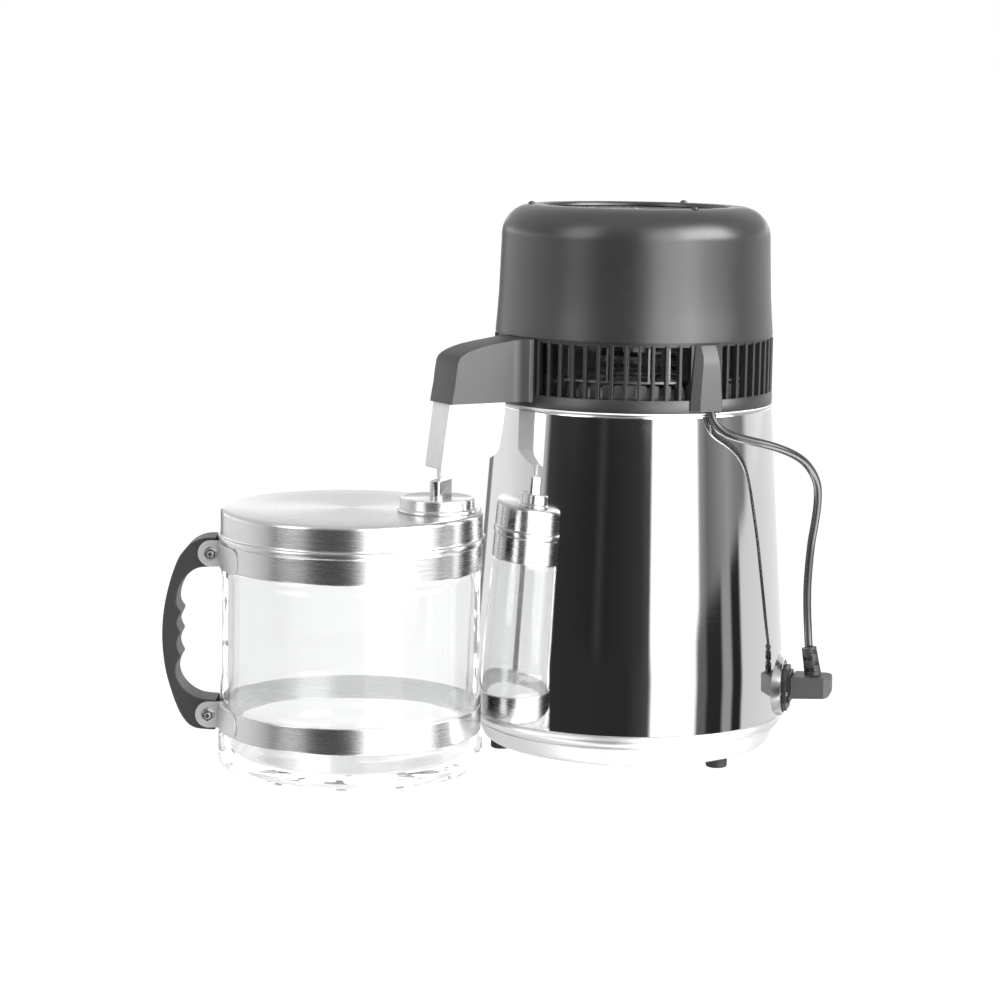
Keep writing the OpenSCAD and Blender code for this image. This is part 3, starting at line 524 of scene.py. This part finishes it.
SHELL_LOW, SHELL_HIGH = 27.4, 233.4
BASE_RADIUS = 105.2
SKIRT, BEND = 45.0, 21   # the height where the wall starts to bend inwards, and the bend's height
SLOPE = (104.9 - 92.7) / (SHELL_HIGH - 60)


def shell_radius(z):
    """The skirt's wall bends gently into the cone."""
    bend = min(max(z - SKIRT, 0), BEND)
    return BASE_RADIUS - SLOPE * bend * bend / (2 * BEND) - SLOPE * max(z - SKIRT - BEND, 0)


def cutter(part, place):
    """A bare solid for a cut; cut() removes it again."""
    mesh = bpy.data.meshes.new("cutter")
    mesh.from_pydata([(place @ Vector(v)) * MM for v in part[0]], [], part[1])
    obj = bpy.data.objects.new("cutter", mesh)
    bpy.context.scene.collection.objects.link(obj)
    return obj


def cut(target, *parts, operation="DIFFERENCE"):
    """Cuts openings through a piece, or keeps only what lies inside each part."""
    for part, place in parts:
        tool = cutter(part, place)
        modifier = target.modifiers.new("opening", "BOOLEAN")
        modifier.operation, modifier.object, modifier.solver = operation, tool, "EXACT"
        bpy.context.view_layer.update()
        evaluated = target.evaluated_get(bpy.context.evaluated_depsgraph_get())
        mesh = bpy.data.meshes.new_from_object(evaluated)
        target.modifiers.clear()
        target.data = mesh
        bpy.data.objects.remove(tool)
    target.data.shade_smooth()
    target.data.set_sharp_from_angle(angle=math.radians(35))


def make_shell():
    heights = [SHELL_LOW + 0.6, SHELL_LOW + 1.2, 32, 38] + [SKIRT + 3 * i for i in range(8)]
    heights += [72, 90, 110, 130, 150, 170, 190, 210, 225, 231, 232.2, SHELL_HIGH - 0.6]
    outside = [(shell_radius(SHELL_LOW) - 0.5, SHELL_LOW)]
    outside += [(shell_radius(z), z) for z in heights] + [(shell_radius(233) - 0.4, SHELL_HIGH)]
    inside = [(shell_radius(z) - 1.0, z) for z in reversed(heights)]
    shell = piece("shell", lathe(outside + inside, 288), AT_BOILER, "boiler",
                  MAT["shell"], ("outer_shell",))
    inlet = box_part((80, -12.9, 36.1), (125, 12.9, 55.9))
    button = moved(lathe([(0, 88), (6, 88), (6, 125), (0, 125)], 48),
                   Matrix.Translation((0, 0, OUTLET_HEIGHT))
                   @ Matrix.Rotation(math.radians(90), 4, "Y"))
    outlet = box_part((80, -10.9, 36.1), (106.5, 10.9, 55.9))
    cut(shell, (inlet, AT_BOILER), (button, at(BX, RESET)), (outlet, at(BX, OUTLET)))


def make_boss():
    """The flared boss round the outlet."""
    flare = [(18.7, 107.55), (19.2, 107.4), (19.6, 107.1), (31.0, 98.7), (33.5, 97.2), (36, 96.2),
             (36, 94.5), (17.5, 94.5), (17.5, 107.55)]
    verts, faces = along_x(lathe(flare, 96))
    verts = [Vector((v.x, v.y, max(v.z + OUTLET_HEIGHT, SHELL_LOW + 0.4))) for v in verts]
    piece("boss", (verts, faces), at(BX, OUTLET), "boiler", MAT["boss"],
          sharp=50)


def cut_corner_square(half, corner):
    """The outline of a square whose corners are cut off."""
    c = half - corner
    return [(-half, -c), (-c, -half), (c, -half), (half, -c),
            (half, c), (c, half), (-c, half), (-half, c)]


def make_socket():
    stand = Matrix.Translation((0, 0, OUTLET_HEIGHT)) @ OUTWARDS
    flange = prism(cut_corner_square(14.4, 6), 107.6, 110.6,
                   stand @ Matrix.Translation((0, -0.6, 0)))
    rim = prism(rounded(-10.5, 10.5, -9.5, 10.5, 1.6), 110.0, 112.6, stand)
    body = box_part((91, -10.7, 36.4), (108, 10.7, 55.6))
    clips = [box_part((110.0, y, 46.5), (112.4, y + 1.6, 49.5)) for y in (-12.0, 10.4)]
    piece("socket", joined(flange, rim, body, *clips), at(BX, OUTLET), "boiler",
          MAT["socket"], ("outlet_socket",), bevel=0.45, steps=3)


def make_base():
    bead = [(99, 19.6), (100.6, 19.6), *arc(100.6, 23.5, 3.85, -85, 60, 12), (103.6, 26.9),
            (104.9, 27.35), (99, 27.35)]
    piece("bead", lathe(bead, 240), AT_BOILER, "boiler", MAT["bead"],
          ("bead_ring",), sharp=50)
    side = smooth([(92.8, 6.1), (94.6, 6.8), (96.1, 8.4), (97.4, 11.2), (98.6, 14.2),
                   (99.9, 17.2)], 4)
    cup = [(0, 6), (91.6, 6), *[(v[0], v[1]) for v in side], (100.1, 17.7), (99.6, 18.1),
           (98.9, 18.4), (98.9, 33.4), (97.5, 33.4), (97.5, 16), (95.7, 11.5), (92, 7.4), (0, 7.4)]
    base = piece("base", lathe(cup, 240), AT_BOILER, "boiler", MAT["cup"],
                 ("base_cup",), sharp=40)
    spots = [at(BX, a) @ Matrix.Translation((86, 0, 0)) for a in (-68, 52, 172)]
    cut(base, *[(lathe([(0, 0), (2.2, 0), (2.2, 20), (0, 20)], 32), spot) for spot in spots])
    foot = lathe([(5.9, 0), (6.6, 0.3), (7, 1), (7, 5.2), (6.8, 6), (2.1, 6), (2.1, 2.4), (4, 2.4),
                  (4, 0)], 48)
    feet = joined(*[moved(foot, spot) for spot in spots])
    piece("feet", feet, Matrix.Identity(4), "boiler", MAT["rubber"], ("rubber_feet",))


make_shell()
make_boss()
make_socket()
make_base()


# ---------------------------------------------------------------- head

RING = 92.6
SLATS = 65
DOME_TOP = 364.5


def make_dome():
    outer = [(92.3, 280.5), (92.2, 282), (91.3, 293), (90.4, 306), (89.7, 325)]
    outer += arc(69, DOME_TOP - 20, 20, 0, 90, 24)
    lip = [(64, DOME_TOP), (62.3, DOME_TOP - 0.3), (61.6, DOME_TOP - 1), (61.5, DOME_TOP - 2.6)]
    inner = [(r - 2.6, z) if z < DOME_TOP - 20 else (r, z) for r, z in outer[:5]]
    inner += arc(69, DOME_TOP - 20, 17.4, 0, 90, 16)
    piece("dome", lathe(outer + lip + inner[::-1], 288), AT_BOILER, "head",
          MAT["dome"], ("dome_cover",), sharp=50)
    line = outer[1:22]
    seam = [(r + 0.14, z + 0.05) for r, z in line] + [(r - 0.3, z) for r, z in line[::-1]]
    piece("dome_seam", lathe(seam, 2, -114.3, 0.4), AT_BOILER, "head",
          MAT["dome"], sharp=50)


def closed_at(a):
    """No slats stand behind the spout and the lead's cover."""
    return abs(a - SPOUT) < 13.5 or abs(a - (TAB + 360)) < 9


def make_louvers():
    band = lathe([(92.8, 235.7), (92.8, 243.4), (92.4, 243.9), (84.2, 243.9), (84.2, 235.3),
                  (92.4, 235.3)], 240)
    top = lathe([(91.2, 277.7), (91.2, 280.5), (86, 280.5), (86, 277.7)], 240)
    parts = [band, top]
    for i in range(SLATS):
        a = i * 360 / SLATS + 0.7
        if closed_at(a):
            continue
        slat = prism(rounded(RING - 4.6, RING, -1.15, 1.15, 0.45, 3), 243.4, 278.7)
        parts.append(moved(slat, turn(a)))
    for a, sweep in ((SPOUT, 26), (TAB, 14)):
        parts.append(lathe([(RING, 243.4), (RING, 278.7), (RING - 4.6, 278.7), (RING - 4.6, 243.4)],
                           24, a - sweep / 2, sweep))
    piece("louvers", joined(*parts), AT_BOILER, "head", MAT["vent"],
          ("louver_ring",), sharp=40)


def make_rim():
    parts = [lathe([(84.1, 235.8), (84.1, 238.3), (74, 238.3), (74, 235.8)], 192)]
    for i in range(SLATS):
        a = (i + 0.5) * 360 / SLATS
        if abs(a - SPOUT) < 5:
            continue
        lug = ([(-2.4, 238.0), (2.4, 238.0)] + arc(1.0, 250.9, 1.4, 0, 90, 4)
               + arc(-1.0, 250.9, 1.4, 90, 180, 4))
        parts.append(moved(prism(lug, 79.5, 83.4, OUTWARDS), turn(a)))
    piece("condenser_lugs", joined(*parts), AT_BOILER, "head", MAT["lug"],
          ("condenser_rim",), bevel=0.35, steps=2)


def make_tab():
    """The lead's cover narrows upwards and its top slopes back to the ring."""
    def level(z, reach, front, side):
        return [(92.85, -side, z), (reach, -front, z), (reach, front, z), (92.85, side, z)]
    rows = [level(237.0, 99.0, 8.2, 12.2), level(245.0, 99.0, 7.9, 12.0),
            level(266.5, 98.6, 6.4, 10.2), level(272.0, 97.6, 5.9, 9.6),
            level(279.3, 93.8, 5.6, 9.0)]
    verts = [p for row in rows for p in row]
    faces = [(3, 2, 1, 0), (16, 17, 18, 19)]
    for base in range(0, 16, 4):
        faces += [(base + k, base + (k + 1) % 4, base + 4 + (k + 1) % 4, base + 4 + k)
                  for k in range(4)]
    piece("lead_cover", (verts, faces), at(BX, TAB), "head", MAT["hood"],
          ("cable_tab",), bevel=1.2, steps=4, sharp=30)


TUBE_REACH = 146.4   # from the boiler's axis to the drip tube's axis
ARM_TOP = [(148.4, 239), (147.4, 245), (146.1, 251.4), (145.2, 259), (144, 266), (142.6, 268.6),
           (140.2, 270.5), (136.6, 272.3), (131, 274.2), (125.3, 275.6), (117, 277), (109, 278.1),
           (100.9, 279.2), (92.9, 279.8)]


def make_hood():
    """The spout's arm: hollow, open below, and flared in plan where it meets the ring."""
    curve = arc(103, 24, 10, 205, 270, 14)
    plan = ([(84, 19.8)] + curve + [(156, 14), (156, -14)]
            + [(x, -y) for x, y in reversed(curve)] + [(84, -19.8)])
    place = at(BX, SPOUT)
    hood = piece("hood", side_prism([(84, 220), (151.6, 220)] + ARM_TOP + [(84, 280.2)], 24.0),
                 place, "head", MAT["hood"], ("spout_hood",))
    cut(hood, (prism(plan, 200, 300), place), operation="INTERSECT")
    round_edges(hood, 3.0, 6, 45, harden=False)
    hollow = [(80, 200), (146.0, 200), (146.0, 239), (143.7, 251), (141.4, 263), (137.5, 266.6),
              (125, 271.6), (109, 274.6), (80, 276)]
    ring = lathe([(0, 200), (92.85, 200), (92.85, 300), (0, 300)], 192)
    cut(hood, (side_prism(hollow, 11.6), place), (box_part((60, -40, 200), (170, 40, 239)), place),
        (ring, AT_BOILER))


def make_nozzle():
    """The deep drip funnel with its tube."""
    place = at(BX, SPOUT)
    base = [(106.8, 236.8), (108.1, 225), (109.9, 214.5), (110.6, 210.5), (112.5, 206.5),
            (116.5, 203.7), (123, 201.5), (131, 199.4), (148, 197.2), (152.4, 196.9),
            (153.1, 197.9)]
    side = [(106.6, 238.9)] + [(v[0], v[1]) for v in smooth(base, 3)] + [(147.4, 238.9)]
    funnel = piece("funnel", side_prism(side, 20.0), place, "head",
                   MAT["nozzle"], ("nozzle",), sharp=30)
    plan = [(100, -11.9), (153, -10.5), (158, -10.5), (158, 10.5), (153, 10.5), (100, 11.9)]
    cut(funnel, (prism(plan, 180, 260), place), operation="INTERSECT")
    hollow = [(108.2, 245), (108.4, 236.8), (109.7, 225), (111.5, 214.7), (112.2, 210.9),
              (113.9, 207.5), (117.2, 205.2), (123.5, 203.1), (131.3, 201.0), (148.1, 198.8),
              (151.3, 198.6), (145.9, 238.9), (145.9, 245)]
    tube_hole = moved(lathe([(0, 190), (3.3, 190), (3.3, 205), (0, 205)], 48),
                      Matrix.Translation((TUBE_REACH, 0, 0)))
    groove = [(144.7, 240), (145.3, 240), (151.0, 198.5), (150.4, 198.5)]
    grooves = [(moved(side_prism(groove, 1.0), Matrix.Translation((0, y, 0))), place)
               for y in (-11.3, 11.3)]
    cut(funnel, (side_prism(hollow, 9.4), place), (tube_hole, place), *grooves)
    round_edges(funnel, 0.7, 3, 50)
    tip = lathe([(2.3, 190.6), (3.1, 190.6), (3.28, 190.9), (3.28, 199), (2.3, 199)], 48)
    piece("drip_tube", moved(tip, Matrix.Translation((TUBE_REACH, 0, 0))), place, "head",
          MAT["nozzle"], ("drip_tip",))


make_dome()
make_louvers()
make_rim()
make_tab()
make_hood()
make_nozzle()


# ---------------------------------------------------------------- jar

def make_glass():
    outside = [(0, 1.5), (66, 1.5), (70, 1.2), (72.5, 0.4), (75, 0), (79, 0)]
    outside += arc(79.6, 6.8, 6.8, -85, 0, 12)
    outside += [(86.4, 12), (86.4, 18), (86.1, 21), (85.4, 23), (84.3, 24), (84.1, 26), (84.1, 39),
                (84.3, 40.6), (84.9, 42), (85.2, 44), (85.2, 51), (84.9, 54), (84.4, 57),
                (84.05, 60), (84, 64), (84, 122), (84.2, 124.5), (84.55, 126.4), (84.65, 128.5),
                (84.4, 130.4), (83.9, 131.8), (83.8, 134), (83.8, 158.5), (83.3, 160.8),
                (82.2, 161.9), (81.2, 162), (80.6, 161.4), (80.4, 160)]
    inside = [(80.4, 64), (80.4, 18), (79.6, 13.5), (77.5, 10.2), (73, 7.6), (64, 6.6), (0, 6.2)]
    piece("jar", lathe(outside + inside, 256), AT_JAR, "jar", MAT["glass"],
          ("jar_glass",), sharp=60)


def make_bands():
    low = [(84.25, 23.75), (85.1, 23.75), (85.3, 24.0), (85.3, 24.4), (85.3, 39.7), (85.3, 40.1),
           (85.1, 40.4), (84.25, 40.4)]
    high = [(83.85, 131.3), (84.6, 131.3), (84.8, 131.55), (84.8, 132), (84.8, 146.9),
            (84.8, 147.3), (84.6, 147.6), (83.85, 147.6)]
    piece("low_band", lathe(low, 256), AT_JAR, "jar", MAT["band"],
          ("lower_band",), sharp=50)
    piece("high_band", lathe(high, 256), AT_JAR, "jar", MAT["band"],
          ("upper_band",), sharp=50)


def make_lid():
    top = 168.8
    outer = [(84.3, 147.9), (86.2, 147.9), (86.6, 148.3), (86.7, 149), (86.7, 150.8), (86.5, 151.5),
             (85.9, 151.9), (85.35, 152.2), (85.1, 152.8), (85.1, 153.3), (85.1, 165.5)]
    outer += arc(82.3, top - 2.8, 2.8, 0, 90, 8)
    outer += [(60, top), (20, top), (0, top)]
    inner = [(0, top - 0.8), (82, top - 0.8), (83.8, top - 2), (84.3, top - 3.4)]
    lid = piece("jar_lid_shell", lathe(outer + inner, 256), AT_JAR, "jar_lid",
                MAT["lid"], ("lid",), sharp=35)
    cut(lid, (lathe([(0, 150), (21, 150), (21, 180), (0, 180)], 96), AT_CAP))


def make_cap():
    seat, top, r = 168.9, 178.0, 24.2
    outer = [(20.9, 162.9), (20.9, seat), (25.2, seat), (25.65, seat + 0.5), (25.7, seat + 1.2),
             (25.4, seat + 1.9), (24.7, seat + 2.3), (r, seat + 2.7), (r, top - 1.0)]
    outer += arc(r - 0.9, top - 0.9, 0.9, 0, 90, 5)
    outer += [(r - 1.9, top), (r - 2.4, top - 0.35), (8, top - 0.4), (0, top - 0.4)]
    inner = [(0, top - 1.2), (19.9, top - 1.2), (19.9, 162.9)]
    cap = piece("cap_shell", lathe(outer + inner, 144), AT_CAP, "jar_cap",
                MAT["cap"], ("cap",), sharp=35)
    drip_hole = AT_CAP @ Matrix.Translation((2.56, 2.29, 0))
    cut(cap, (lathe([(0, 160), (2.5, 160), (2.5, 190), (0, 190)], 32), drip_hole))
    nose, leg, strip = 4.6, 14.0, 0.9
    outline = ([(leg, nose)] + arc(0, 0, nose, 90, 270, 16) + [(leg, -nose), (leg, strip - nose)]
               + arc(0, 0, nose - strip, 270, 90, 16) + [(leg, nose - strip)])
    place = drip_hole @ turn(80.5) @ Matrix.Translation((-8.5, 0, 0))
    piece("knob", prism(outline, top - 0.4, 189.4), place, "jar_cap",
          MAT["strip"], ("cap_knob",), bevel=0.25, steps=2)


GRIP_OUTER = [
    (87.5, 149), (92.5, 149), (96.5, 148.3), (100, 147), (104, 144.5), (108, 140.3), (111.7, 135),
    (115.6, 125), (118.7, 114), (120.8, 103.5), (122, 93), (122.3, 83), (121.7, 73), (120.2, 62),
    (117.4, 51), (113.5, 39.5), (110.2, 32.3), (106.3, 26.8), (102.6, 24), (98.8, 22.8),
    (93, 22.3), (87.5, 22.2)]
GRIP_INNER = [
    (87.5, 42), (93, 42.2), (99, 43.2), (104.5, 46), (109, 50), (112, 54.5), (113.4, 59),
    (113.3, 63), (112, 67.3), (110.3, 70.7), (111.9, 74.5), (112.8, 78.4), (111.9, 82.3),
    (110.3, 85.9), (111.7, 89), (112.6, 92.3), (111.5, 96), (109.9, 99.8), (111.9, 103),
    (113, 107.2), (112, 113.3), (109.8, 118.5), (107, 122.8), (102.6, 127), (98, 129.2),
    (92.5, 129.8), (87.5, 129.8)]
UPPER_BOLT, LOWER_BOLT = (90.3, 138.8), (92.0, 32.4)
EAR_OFFSET, EAR_HALF, STRIP = 12.05, 8.6, 1.1


def make_handle():
    outline = [(p[0], p[1]) for p in smooth(GRIP_OUTER, 4) + smooth(GRIP_INNER, 5)]
    piece("grip", side_prism(outline, 12.0), at(JX, HANDLE), "jar", MAT["grip"],
          ("handle",), bevel=0.9, steps=3, sharp=45)


def bracket(inner, bolt, mirror):
    """A bent strip: an ear beside the handle, and a leg on the band."""
    low, high = bolt[1] - EAR_HALF, bolt[1] + EAR_HALF
    outer = inner + STRIP
    bend = math.degrees(math.asin((EAR_OFFSET + STRIP / 3) / outer))
    sweep, n, r = 27.0, 40, 6.0
    parts = []
    ear = arc(bolt[0], bolt[1], EAR_HALF, -90, 90, 24)
    ear = [(inner - 0.4, low)] + ear + [(inner - 0.4, high)]
    verts, faces = side_prism(ear, STRIP / 2)
    parts.append(([(x, y + EAR_OFFSET + STRIP / 2, z) for x, y, z in map(tuple, verts)], faces))
    # the leg follows the band and ends rounded
    rows = []
    for i in range(n + 1):
        a = math.radians(bend + sweep * i / n)
        left = (1 - i / n) * sweep * math.pi / 180 * outer
        trim = r - math.sqrt(max(0, r * r - max(0, r - left) ** 2)) if left < r else 0
        rows.append([(rad * math.cos(a), rad * math.sin(a), z)
                     for rad, z in ((inner, low + 0.3 + trim), (outer, low + 0.3 + trim),
                                    (outer, high - 0.3 - trim), (inner, high - 0.3 - trim))])
    verts = [p for row in rows for p in row]
    faces = [(i * 4 + k, i * 4 + 4 + k, i * 4 + 4 + (k + 1) % 4, i * 4 + (k + 1) % 4)
             for i in range(n) for k in range(4)]
    faces += [(0, 1, 2, 3), (n * 4 + 3, n * 4 + 2, n * 4 + 1, n * 4)]
    parts.append((verts, faces))
    part = joined(*parts)
    if mirror:
        part = [(v[0], -v[1], v[2]) for v in part[0]], [tuple(reversed(f)) for f in part[1]]
    return part


def make_brackets():
    for name, node, inner, bolt in (("high_brackets", "upper_brackets", 84.85, UPPER_BOLT),
                                    ("low_brackets", "lower_brackets", 85.35, LOWER_BOLT)):
        part = joined(bracket(inner, bolt, False), bracket(inner, bolt, True))
        piece(name, part, at(JX, HANDLE), "jar", MAT["ear"], (node,),
              bevel=0.2, steps=2, sharp=50)


def make_bolts():
    seat = EAR_OFFSET + STRIP
    heads, nuts = [], []
    for x, z in (UPPER_BOLT, LOWER_BOLT):
        place = Matrix.Translation((x, 0, z))
        shank = along_y(lathe([(0, -seat), (2, -seat), (2, seat + 3.9), (1.6, seat + 4.3),
                               (0, seat + 4.3)], 40))
        head = along_y(lathe([(0, -seat - 2.2), (1.6, -seat - 2.15), (2.8, -seat - 1.6),
                              (3.5, -seat - 0.5), (3.5, -seat), (0, -seat)], 40))
        heads += [moved(shank, place), moved(head, place)]
        hexagon = [(4 * math.cos(a), 4 * math.sin(a))
                   for a in (math.radians(60 * k + 30) for k in range(6))]
        nuts.append(moved(along_y(prism(hexagon, seat, seat + 3.2)), place))
        nuts.append(moved(along_y(prism(arc(0, 0, 4.6, 0, 350, 35), seat, seat + 0.5)), place))
    piece("bolts", joined(*heads), at(JX, HANDLE), "jar", MAT["zinc"],
          ("handle_bolts",), bevel=0.15, steps=2)
    piece("nuts", joined(*nuts), at(JX, HANDLE), "jar", MAT["zinc"],
          ("handle_nuts",), bevel=0.3, steps=2)


make_glass()
make_bands()
make_lid()
make_cap()
make_handle()
make_brackets()
make_bolts()


# ---------------------------------------------------------------- stage and light

PEAK = 8.0   # the brightest panel of the studio; the ramps hold shares of it


def make_world():
    """White behind the object; metal reflects a studio that is dark behind the camera."""
    world = bpy.data.worlds.new("studio")
    bpy.context.scene.world = world
    world.use_nodes = True
    tree = world.node_tree
    tree.nodes.clear()

    def node(kind, **values):
        return add_node(tree, kind, **values)

    def ramp(factor, stops):
        made = node("ShaderNodeValToRGB")
        elements = made.color_ramp.elements
        while len(elements) > 1:
            elements.remove(elements[-1])
        elements[0].position, elements[0].color = stops[0][0], (*[stops[0][1] / PEAK] * 3, 1)
        for position, value in stops[1:]:
            elements.new(position).color = (*[value / PEAK] * 3, 1)
        tree.links.new(factor, made.inputs["Fac"])
        return made.outputs["Color"]

    def azimuth_stops(pairs):
        return [((a + 180) / 360, v) for a, v in pairs]

    coords = node("ShaderNodeTexCoord")
    split = node("ShaderNodeSeparateXYZ")
    tree.links.new(coords.outputs["Generated"], split.inputs[0])
    around = node("ShaderNodeMath", operation="ARCTAN2")
    tree.links.new(split.outputs["Y"], around.inputs[0])
    tree.links.new(split.outputs["X"], around.inputs[1])
    share = node("ShaderNodeMapRange")
    share.inputs["From Min"].default_value = -math.pi
    share.inputs["From Max"].default_value = math.pi
    tree.links.new(around.outputs[0], share.inputs["Value"])
    lower = ramp(share.outputs[0], azimuth_stops([
        (-180, 0.10), (-172, 0.03), (-112, 0.025), (-103, 0.05), (-96, 0.08), (-94, 1.3),
        (-62, 1.3), (-59, 0.13), (-53, 0.13), (-51, 0.025), (-39, 0.022), (-37, 0.33),
        (-30, 0.33), (-28, 0.02), (-20, 0.02), (-18, 0.70), (20, 0.8), (82, 1.0), (86, 0.22),
        (98, 0.22), (102, 0.9), (150, 0.85), (165, 0.7), (176, 0.5), (180, 0.2)]))
    middle = ramp(share.outputs[0], azimuth_stops([
        (-180, 0.05), (-170, 0.03), (-140, 0.02), (-135, 0.045), (-130, 0.02), (-112, 0.03),
        (-103, 0.04), (-97, 0.08), (-94, 2.0), (-60, 2.0), (-57, 0.34), (-50, 0.16), (-40, 0.24),
        (-30, 0.34), (-22, 0.24), (-12, 0.20), (-5, 0.75), (20, 1.0), (82, 1.0), (86, 0.22),
        (98, 0.22), (102, 1.0), (140, 0.8), (165, 0.65), (175, 0.5), (178, 0.08), (180, 0.05)]))
    upper = ramp(share.outputs[0], azimuth_stops([
        (-180, 1.0), (-176, 1.0), (-172, 3.2), (-160, 3.2), (-152, 0.5), (-140, 0.3),
        (-105, 0.3), (-98, 6.5), (-62, 6.5), (-52, 2.0), (-40, 0.8), (-20, 0.5), (0, 0.8),
        (30, 1.6), (50, 2.6), (82, 2.6), (86, 0.4), (98, 0.4), (102, 2.6), (140, 2.6),
        (160, 1.6), (180, 1.0)]))
    high = ramp(share.outputs[0], azimuth_stops([
        (-180, 0.6), (-172, 2.6), (-152, 2.6), (-145, 0.25), (-104, 0.25), (-97, 3.0), (-75, 3.0),
        (-68, 7.5), (-28, 7.5), (-18, 0.4), (0, 0.5), (30, 0.75), (140, 0.75), (165, 0.5),
        (180, 0.6)]))

    def between(value, low, high):
        made = node("ShaderNodeMapRange")
        made.inputs["From Min"].default_value = low
        made.inputs["From Max"].default_value = high
        tree.links.new(value, made.inputs["Value"])
        return made.outputs[0]

    def blend(factor, a, b):
        made = node("ShaderNodeMix", data_type="RGBA")
        tree.links.new(factor, made.inputs["Factor"])
        for value, socket in ((a, made.inputs["A"]), (b, made.inputs["B"])):
            tree.links.new(value, socket)
        return made.outputs["Result"]

    height = split.outputs["Z"]
    studio = blend(between(height, -0.062, -0.052), lower, middle)
    studio = blend(between(height, 0.038, 0.055), studio, upper)
    studio = blend(between(height, 0.10, 0.125), studio, high)
    studio = blend(between(height, -0.30, -0.40), studio, high)
    ceiling = node("ShaderNodeMix", data_type="RGBA")
    ceiling.inputs["B"].default_value = (*[0.7 / PEAK] * 3, 1)
    tree.links.new(between(height, 0.5, 0.8), ceiling.inputs["Factor"])
    tree.links.new(studio, ceiling.inputs["A"])

    path = node("ShaderNodeLightPath")
    seen = node("ShaderNodeBackground")
    seen.inputs["Strength"].default_value = 1.0
    reflected = node("ShaderNodeBackground")
    reflected.inputs["Strength"].default_value = PEAK
    tree.links.new(ceiling.outputs["Result"], reflected.inputs["Color"])
    soft = node("ShaderNodeBackground")
    soft.inputs["Strength"].default_value = 0.55
    for background in (seen, soft):
        background.inputs["Color"].default_value = (1, 1, 1, 1)
    through = node("ShaderNodeMath", operation="MAXIMUM")
    tree.links.new(path.outputs["Is Camera Ray"], through.inputs[0])
    tree.links.new(path.outputs["Is Transmission Ray"], through.inputs[1])
    first = node("ShaderNodeMixShader")
    tree.links.new(path.outputs["Is Glossy Ray"], first.inputs[0])
    tree.links.new(soft.outputs[0], first.inputs[1])
    tree.links.new(reflected.outputs[0], first.inputs[2])
    second = node("ShaderNodeMixShader")
    tree.links.new(through.outputs[0], second.inputs[0])
    tree.links.new(first.outputs[0], second.inputs[1])
    tree.links.new(seen.outputs[0], second.inputs[2])
    out = node("ShaderNodeOutputWorld")
    tree.links.new(second.outputs[0], out.inputs["Surface"])


def make_floor():
    """A pale floor that glows a little, so that it is white but keeps the object's shadow."""
    mesh = bpy.data.meshes.new("floor")
    mesh.from_pydata([(-12, -12, 0), (12, -12, 0), (12, 12, 0), (-12, 12, 0)], [], [(0, 1, 2, 3)])
    floor = bpy.data.objects.new("floor", mesh)
    bpy.context.scene.collection.objects.link(floor)
    material = bpy.data.materials.new("pale_floor")
    material.use_nodes = True
    tree = material.node_tree
    shader = tree.nodes["Principled BSDF"]
    shader.inputs["Base Color"].default_value = (0.92, 0.92, 0.92, 1)
    shader.inputs["Roughness"].default_value = 0.9
    shader.inputs["Specular IOR Level"].default_value = 0.0
    light = add_node(tree, "ShaderNodeEmission")
    light.inputs["Strength"].default_value = 1.15
    path = add_node(tree, "ShaderNodeLightPath")
    both = add_node(tree, "ShaderNodeMath", operation="MAXIMUM")
    tree.links.new(path.outputs["Is Camera Ray"], both.inputs[0])
    tree.links.new(path.outputs["Is Transmission Ray"], both.inputs[1])
    part = add_node(tree, "ShaderNodeMath", operation="MULTIPLY")
    part.inputs[1].default_value = 0.8
    tree.links.new(both.outputs[0], part.inputs[0])
    mix = add_node(tree, "ShaderNodeMixShader")
    tree.links.new(part.outputs[0], mix.inputs[0])
    tree.links.new(shader.outputs[0], mix.inputs[1])
    tree.links.new(light.outputs[0], mix.inputs[2])
    tree.links.new(mix.outputs[0], tree.nodes["Material Output"].inputs["Surface"])
    mesh.materials.append(material)
    floor.visible_glossy = False


def lamp(name, where, aim, size, power):
    data = bpy.data.lights.new(name, "AREA")
    data.shape = "RECTANGLE"
    data.size, data.size_y = size[0] * MM, size[1] * MM
    data.energy = power
    obj = bpy.data.objects.new(name, data)
    bpy.context.scene.collection.objects.link(obj)
    place, target = Vector(where) * MM, Vector(aim) * MM
    obj.location = place
    obj.rotation_mode = "QUATERNION"
    obj.rotation_quaternion = (target - place).to_track_quat("-Z", "Y")
    obj.visible_camera = False
    obj.visible_glossy = False


make_world()
make_floor()
lamp("key_light", (BX + 77, -700, 330), (BX, 0, 180), (480, 900), 8.0)
lamp("side_light", (BX - 820, -190, 620), (BX - 40, 0, 250), (420, 700), 0.4)
lamp("top_light", (BX - 100, 200, 1300), (BX - 60, 0, 150), (900, 900), 5.0)

bpy.context.scene.view_settings.view_transform = "Standard"
